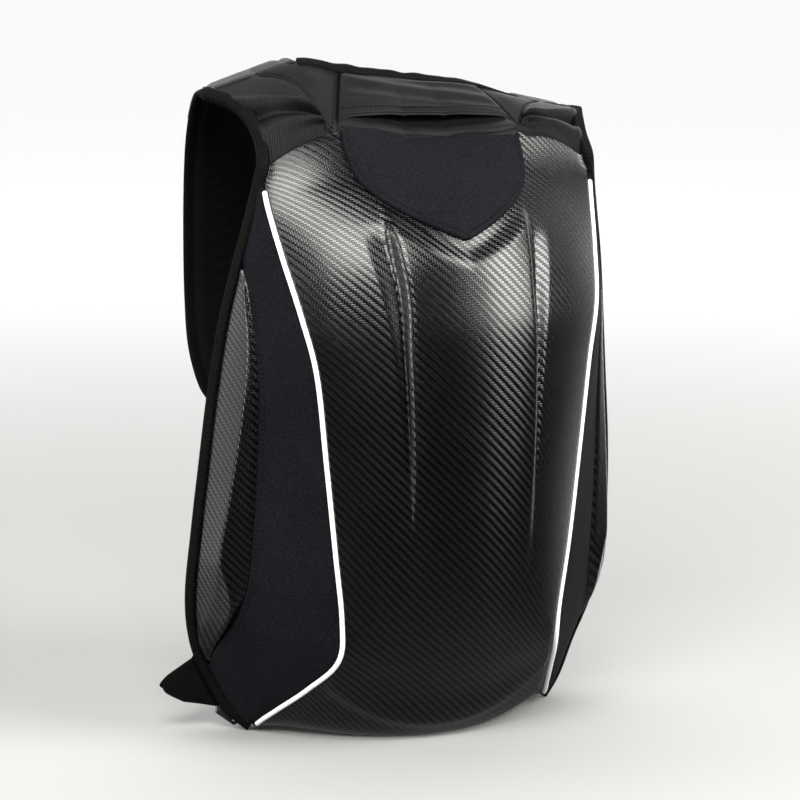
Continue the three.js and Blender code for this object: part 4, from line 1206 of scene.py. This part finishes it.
# Materials
class Wires:
    """Short ways to add nodes to a node tree."""

    def __init__(self, tree):
        self.tree = tree

    def node(self, kind, **settings):
        node = self.tree.nodes.new(kind)
        for key, value in settings.items():
            setattr(node, key, value)
        return node

    def feed(self, socket, value):
        """Links or sets an input; None leaves it as it is."""
        if isinstance(value, bpy.types.NodeSocket):
            self.tree.links.new(value, socket)
        elif value is not None:
            socket.default_value = value

    def plug(self, node, **values):
        """Feeds inputs of a node, which are named with underscores for spaces."""
        for key, value in values.items():
            self.feed(node.inputs[key.replace("_", " ")], value)

    def math(self, operation, *values):
        node = self.node("ShaderNodeMath", operation=operation)
        for socket, value in zip(node.inputs, values):
            self.feed(socket, value)
        return node.outputs[0]

    def times(self, a, b):
        return self.math("MULTIPLY", a, b)

    def times_plus(self, a, b, c):
        return self.math("MULTIPLY_ADD", a, b, c)

    def split(self, vector):
        node = self.node("ShaderNodeSeparateXYZ")
        self.plug(node, Vector=vector)
        return node.outputs

    def weave(self):
        """Millimetres across and down the piece's cloth."""
        attribute = self.node("ShaderNodeAttribute", attribute_name="weave")
        return self.split(attribute.outputs["Vector"])[:2]

    def place(self, kind="Object"):
        return self.node("ShaderNodeTexCoord").outputs[kind]

    def noise(self, scale, detail=2.0, roughness=0.5, stretch=None):
        place = self.place()
        if stretch:
            mapping = self.node("ShaderNodeMapping")
            self.plug(mapping, Vector=place, Scale=stretch)
            place = mapping.outputs[0]
        node = self.node("ShaderNodeTexNoise")
        self.plug(node, Vector=place, Scale=scale, Detail=detail, Roughness=roughness)
        return node.outputs["Fac"]

    def between(self, share, low, high):
        node = self.node("ShaderNodeMapRange")
        self.plug(node, Value=share, To_Min=low, To_Max=high)
        return node.outputs[0]

    def smooth(self, value, start, end):
        node = self.node("ShaderNodeMapRange", interpolation_type="SMOOTHSTEP")
        self.plug(node, Value=value, From_Min=start, From_Max=end)
        return node.outputs[0]

    def shades(self, share, *stops):
        node = self.node("ShaderNodeValToRGB")
        self.plug(node, Fac=share)
        while len(node.color_ramp.elements) < len(stops):
            node.color_ramp.elements.new(0.5)
        for element, (place, colour) in zip(node.color_ramp.elements, stops):
            element.position = place
            element.color = (*colour, 1)
        return node.outputs[0]

    def bump(self, height, distance, strength=1.0, below=None):
        node = self.node("ShaderNodeBump")
        self.plug(node, Strength=strength, Distance=distance, Height=height, Normal=below)
        return node.outputs[0]


def new_material(name):
    material = bpy.data.materials.new(name)
    material.use_nodes = True
    return material, Wires(material.node_tree), material.node_tree.nodes["Principled BSDF"]


def carbon_twill():
    """Glossy skin embossed as a two-over-two twill. Its two sets of tows shine across themselves."""
    material, w, shader = new_material("carbon_twill")
    across, down = (w.math("DIVIDE", value, TWILL_TOW) for value in w.weave())
    step = w.math("SUBTRACT", w.math("FLOOR", across), w.math("FLOOR", down))
    phase = w.math("FLOORED_MODULO", step, 4.0)
    weft = w.math("LESS_THAN", phase, 1.5)
    in_warp, in_weft = w.math("FRACT", across), w.math("FRACT", down)

    def flat_top(share):
        off = w.math("ABSOLUTE", w.times_plus(share, 2.0, -1.0))
        return w.math("SUBTRACT", 1.0, w.math("POWER", off, 5.0))

    def tow(over, along):
        return w.times(flat_top(over), w.times_plus(flat_top(w.times(along, 0.5)), 0.5, 0.5))

    weft_height = tow(in_weft, w.math("ADD", phase, in_warp))
    warp_height = tow(in_warp, w.math("SUBTRACT", w.math("SUBTRACT", phase, 1.0), in_weft))
    height = w.times_plus(w.math("SUBTRACT", weft_height, warp_height), weft, warp_height)
    # Painted reflection and shade: the weft tows are lighter than the warp tows, and each tow's raised top is
    # lighter than the grooves between the tows.
    colour = w.shades(
        w.times_plus(weft, 0.5, w.times(height, 0.5)),
        (0.0, (0.0004, 0.0004, 0.0005)),
        (0.5, (0.0008, 0.0008, 0.001)),
        (1.0, (0.0018, 0.0019, 0.0022)),
    )
    lay = w.node("ShaderNodeAttribute", attribute_name="grain").outputs["Vector"]
    roughness = w.between(w.noise(35, 3.0), 0.205, 0.255)
    w.plug(shader, Base_Color=colour, Normal=w.bump(height, 0.00007), Roughness=roughness)
    w.plug(shader, Tangent=lay, Anisotropic=0.75, Anisotropic_Rotation=w.times(weft, 0.25))
    w.plug(shader, Specular_IOR_Level=w.times_plus(weft, 0.36, 0.32))
    return material


# Grained materials: noise scale, detail and roughness; two shades; relief's depth and strength; roughness and
# sheen; and for cloudy ones the scale and share of the clouds
GRAINED = {
    "neoprene": (
        (700, 2.0, 0.5), ((0.38, (0.0014, 0.0018, 0.0029)), (0.62, (0.0055, 0.0063, 0.0083))),
        (0.00007, 0.8), (0.86, 0.1), (18, 0.25),
    ),
    "sewing_thread": (
        (2200, 1.0, 0.5), ((0.3, (0.0012, 0.0012, 0.0013)), (0.7, (0.003, 0.003, 0.0032))),
        (0.00006, 0.6), (0.6, 0.1), None,
    ),
    "grosgrain": (
        (900, 3.0, 0.5), ((0.3, (0.0014, 0.0014, 0.0014)), (0.75, (0.0062, 0.006, 0.0058))),
        (0.0001, 0.7), (0.75, 0.04), None,
    ),
    "white_cord": (
        (1200, 2.0, 0.5), ((0.3, (0.82, 0.83, 0.84)), (0.7, (0.93, 0.93, 0.93))),
        (0.00005, 0.5), (0.4, None), None,
    ),
    "padding_cloth": (
        (1100, 2.0, 0.6), ((0.3, (0.0006, 0.0006, 0.001)), (0.75, (0.0015, 0.0016, 0.0025))),
        (0.00015, 0.8), (0.9, 0.08), (14, 0.4),
    ),
}


def grained(name):
    """A material whose shades and fine relief come from one grain."""
    noise, stops, relief, (roughness, sheen), clouds = GRAINED[name]
    material, w, shader = new_material(name)
    grain = w.noise(*noise)
    tone = grain
    if clouds:
        scale, share = clouds
        tone = w.times_plus(grain, 1 - share, w.times(w.noise(scale, 3.0), share))
    w.plug(shader, Base_Color=w.shades(tone, *stops), Normal=w.bump(grain, *relief))
    w.plug(shader, Roughness=roughness, Specular_IOR_Level=sheen)
    return material


def wave(w, value, pitch):
    return w.math("SINE", w.times(value, 2 * math.pi / pitch))


def ribbed_nylon():
    material, w, shader = new_material("ribbed_nylon")
    across, down = w.weave()
    rib = w.math("ABSOLUTE", wave(w, across, 3.4))
    threads = w.times_plus(wave(w, down, 0.55), 0.12, rib)
    # Painted shade: the tone is darker in the hollows between the ribs and lighter on their crests, over a
    # random tone from the noise.
    tone = w.times_plus(w.noise(60, 3.0), 0.3, w.times(rib, 0.7))
    colour = w.shades(tone, (0.1, (0.0006, 0.0006, 0.0006)), (0.9, (0.0042, 0.0043, 0.0044)))
    w.plug(shader, Base_Color=colour, Normal=w.bump(threads, 0.0004, 0.9))
    w.plug(shader, Roughness=0.46, Specular_IOR_Level=0.15)
    return material


def plain_nylon():
    material, w, shader = new_material("plain_nylon")
    across, down = w.weave()
    weave = w.times_plus(w.times(wave(w, across, 0.9), wave(w, down, 0.9)), 0.5, 0.5)
    crease = w.noise(26, 4.0, 0.6, (1.0, 1.6, 2.6))
    # Painted shade: the cloth's tone follows its creases, darker in their hollows and lighter on their
    # crests; the weave's threads add a fine pattern of tone.
    tone = w.times_plus(weave, 0.3, w.times(crease, 0.7))
    colour = w.shades(tone, (0.25, (0.0022, 0.0022, 0.0024)), (0.75, (0.0072, 0.0073, 0.0076)))
    w.plug(shader, Base_Color=colour, Normal=w.bump(weave, 0.00008, 0.8, w.bump(crease, 0.0016, 0.35)))
    w.plug(shader, Roughness=0.5, Specular_IOR_Level=0.11)
    return material


def air_mesh():
    """Spacer knit of the back: small round eyes in a staggered grid."""
    material, w, shader = new_material("air_mesh")
    cells = w.node("ShaderNodeTexVoronoi", feature="F1")
    w.plug(cells, Vector=w.place(), Scale=330, Randomness=0.25)
    eye = w.between(cells.outputs["Distance"], 0.0, 1.0)
    rim = w.math("SMOOTH_MIN", w.times(eye, 2.2), 1.0, 0.2)
    # Painted shade: the eyes are darker than the knit around them, as hollows in it.
    colour = w.shades(rim, (0.2, (0.0015, 0.0015, 0.0018)), (0.75, (0.008, 0.0085, 0.0095)))
    w.plug(shader, Base_Color=colour, Normal=w.bump(rim, 0.0005, 0.8))
    w.plug(shader, Roughness=0.85, Specular_IOR_Level=0.25)
    return material


def moulded_plastic():
    material, w, shader = new_material("moulded_plastic")
    colour = w.shades(w.noise(40), (0.3, (0.014, 0.014, 0.015)), (0.7, (0.022, 0.022, 0.024)))
    roughness = w.between(w.noise(120), 0.34, 0.5)
    w.plug(shader, Base_Color=colour, Normal=w.bump(w.noise(1800), 0.00003, 0.6), Roughness=roughness)
    return material


# Pieces
def build_pack():
    twill, ribbed, plain = carbon_twill(), ribbed_nylon(), plain_nylon()
    mesh, plastic = air_mesh(), moulded_plastic()
    rubber, thread, tape, cord, pad = (grained(name) for name in GRAINED)
    front_shell(twill)
    crest_patch(rubber, thread)
    yoke_centre(plain)
    grab_handle(plain)
    tape_lines = [neck_binding(tape)]
    for word, side in SIDES.items():
        piping(word, side, cord)
        side_gusset(word, side, rubber)
        side_panel(word, side, twill)
        yoke_outer(word, side, ribbed)
        yoke_inner(word, side, plain)
        tape_lines.append(edge_binding(word, side, tape))
        shoulder_strap(word, side, pad, thread)
        strap_webbing(word, side, tape)
        anchor_tab(word, side, tape, thread)
        rounded_copy(f"ladder_lock_{word}", f"adjuster_{word}", plastic)
    rounded_copy("zip_slider_left", "slider_left", plastic)
    side_stitches(thread)
    yoke_stitches(thread)
    add_stitches("stitching_tapes", tape_lines, thread)
    back_panel(mesh)


# Stage: floor, camera and light, in metres and degrees
FLOOR_REACH = 60.0
# Painted shade: the floor is dark near the pack and pale far off, which offsets the stronger light of the
# softboxes on the floor near it.
FLOOR_NEAR, FLOOR_FAR = (0.34, 0.34, 0.336), (0.98, 0.98, 0.98)
FLOOR_FADE = (0.4, 3.6)
CAMERA_AZIMUTH, CAMERA_ELEVATION, CAMERA_DISTANCE = -23.0, 9.0, 2.164
CAMERA_TARGET = Vector((ORIGIN + np.array([0, 1.2, 241.0])) * MM)
CAMERA_LENS, CAMERA_SENSOR, CAMERA_REACH = 130.5, 36.0, 200
LIGHT_COLOUR = (1.0, 0.99, 0.95)
STUDIO_DARK, STUDIO_BRIGHT, STUDIO_STRENGTH = (0.010, 0.011, 0.015), (1.0, 1.0, 1.0), 2.55
GLOW_BELOW, GLOW_LEFT = 0.08, 0.3

# Softboxes: azimuth, elevation, distance, width, height, radiance
SOFTBOXES = {
    "softbox_left": (-30, 43, 2.2, 1.15, 0.95, 19.0),
    "softbox_right": (43, 30, 2.2, 0.9, 1.9, 16.0),
    "strip_left": (-75, 12, 2.2, 0.6, 1.4, 10.0),
}


def look_from(piece, azimuth, elevation, distance):
    """Puts a camera or light at an azimuth and elevation round the pack, turned towards it."""
    a, e = math.radians(azimuth), math.radians(elevation)
    way = Vector((math.sin(a) * math.cos(e), -math.cos(a) * math.cos(e), math.sin(e)))
    piece.location = CAMERA_TARGET + way * distance
    piece.rotation_euler = (CAMERA_TARGET - piece.location).to_track_quat("-Z", "Y").to_euler()


def add_camera():
    data = bpy.data.cameras.new("camera")
    data.lens = CAMERA_LENS
    data.sensor_width = CAMERA_SENSOR
    data.clip_end = CAMERA_REACH
    camera = put("camera", data)
    look_from(camera, CAMERA_AZIMUTH, CAMERA_ELEVATION, CAMERA_DISTANCE)
    bpy.context.scene.camera = camera


def add_lights():
    for name, (azimuth, elevation, distance, width, height, radiance) in SOFTBOXES.items():
        data = bpy.data.lights.new(name, "AREA")
        data.shape = "RECTANGLE"
        data.size, data.size_y = width, height
        data.energy = radiance * math.pi * width * height
        data.color = LIGHT_COLOUR
        look_from(put(name, data), azimuth, elevation, distance)


def add_world():
    """A pale studio: bright behind, dim in front, with a glow from below and from low at the left."""
    world = bpy.data.worlds.new("studio")
    bpy.context.scene.world = world
    world.use_nodes = True
    w = Wires(world.node_tree)
    x, y, z = w.split(w.place("Generated"))
    behind = w.times(w.smooth(y, -0.1, 0.6), w.smooth(z, -0.4, -0.03))
    below = w.times(w.smooth(z, -0.25, -0.75), GLOW_BELOW)
    left = w.times(w.smooth(x, -0.45, -0.8), w.smooth(y, -0.4, 0.0))
    left = w.times(w.times(left, w.smooth(z, -0.15, -0.35)), GLOW_LEFT)
    glow = w.math("MAXIMUM", behind, w.math("MAXIMUM", below, left))
    colour = w.shades(glow, (0.0, STUDIO_DARK), (1.0, STUDIO_BRIGHT))
    w.plug(world.node_tree.nodes["Background"], Color=colour, Strength=STUDIO_STRENGTH)


def add_floor():
    material, w, shader = new_material("pale_floor")
    reach = w.node("ShaderNodeVectorMath", operation="LENGTH")
    w.plug(reach, Vector=w.place())
    # Painted shade: the floor's colour darkens towards the pack.
    colour = w.shades(w.smooth(reach.outputs["Value"], *FLOOR_FADE), (0.0, FLOOR_NEAR), (1.0, FLOOR_FAR))
    w.plug(shader, Base_Color=colour, Roughness=0.8, Specular_IOR_Level=0.1)
    mesh = bpy.data.meshes.new("floor")
    r = FLOOR_REACH
    mesh.from_pydata([(-r, -r, 0), (r, -r, 0), (r, r, 0), (-r, r, 0)], [], [(0, 1, 2, 3)])
    mesh.materials.append(material)
    floor = put("floor", mesh)
    floor.visible_glossy = False


add_camera()
build_pack()
add_floor()
add_lights()
add_world()
bpy.context.scene.view_settings.view_transform = "Standard"
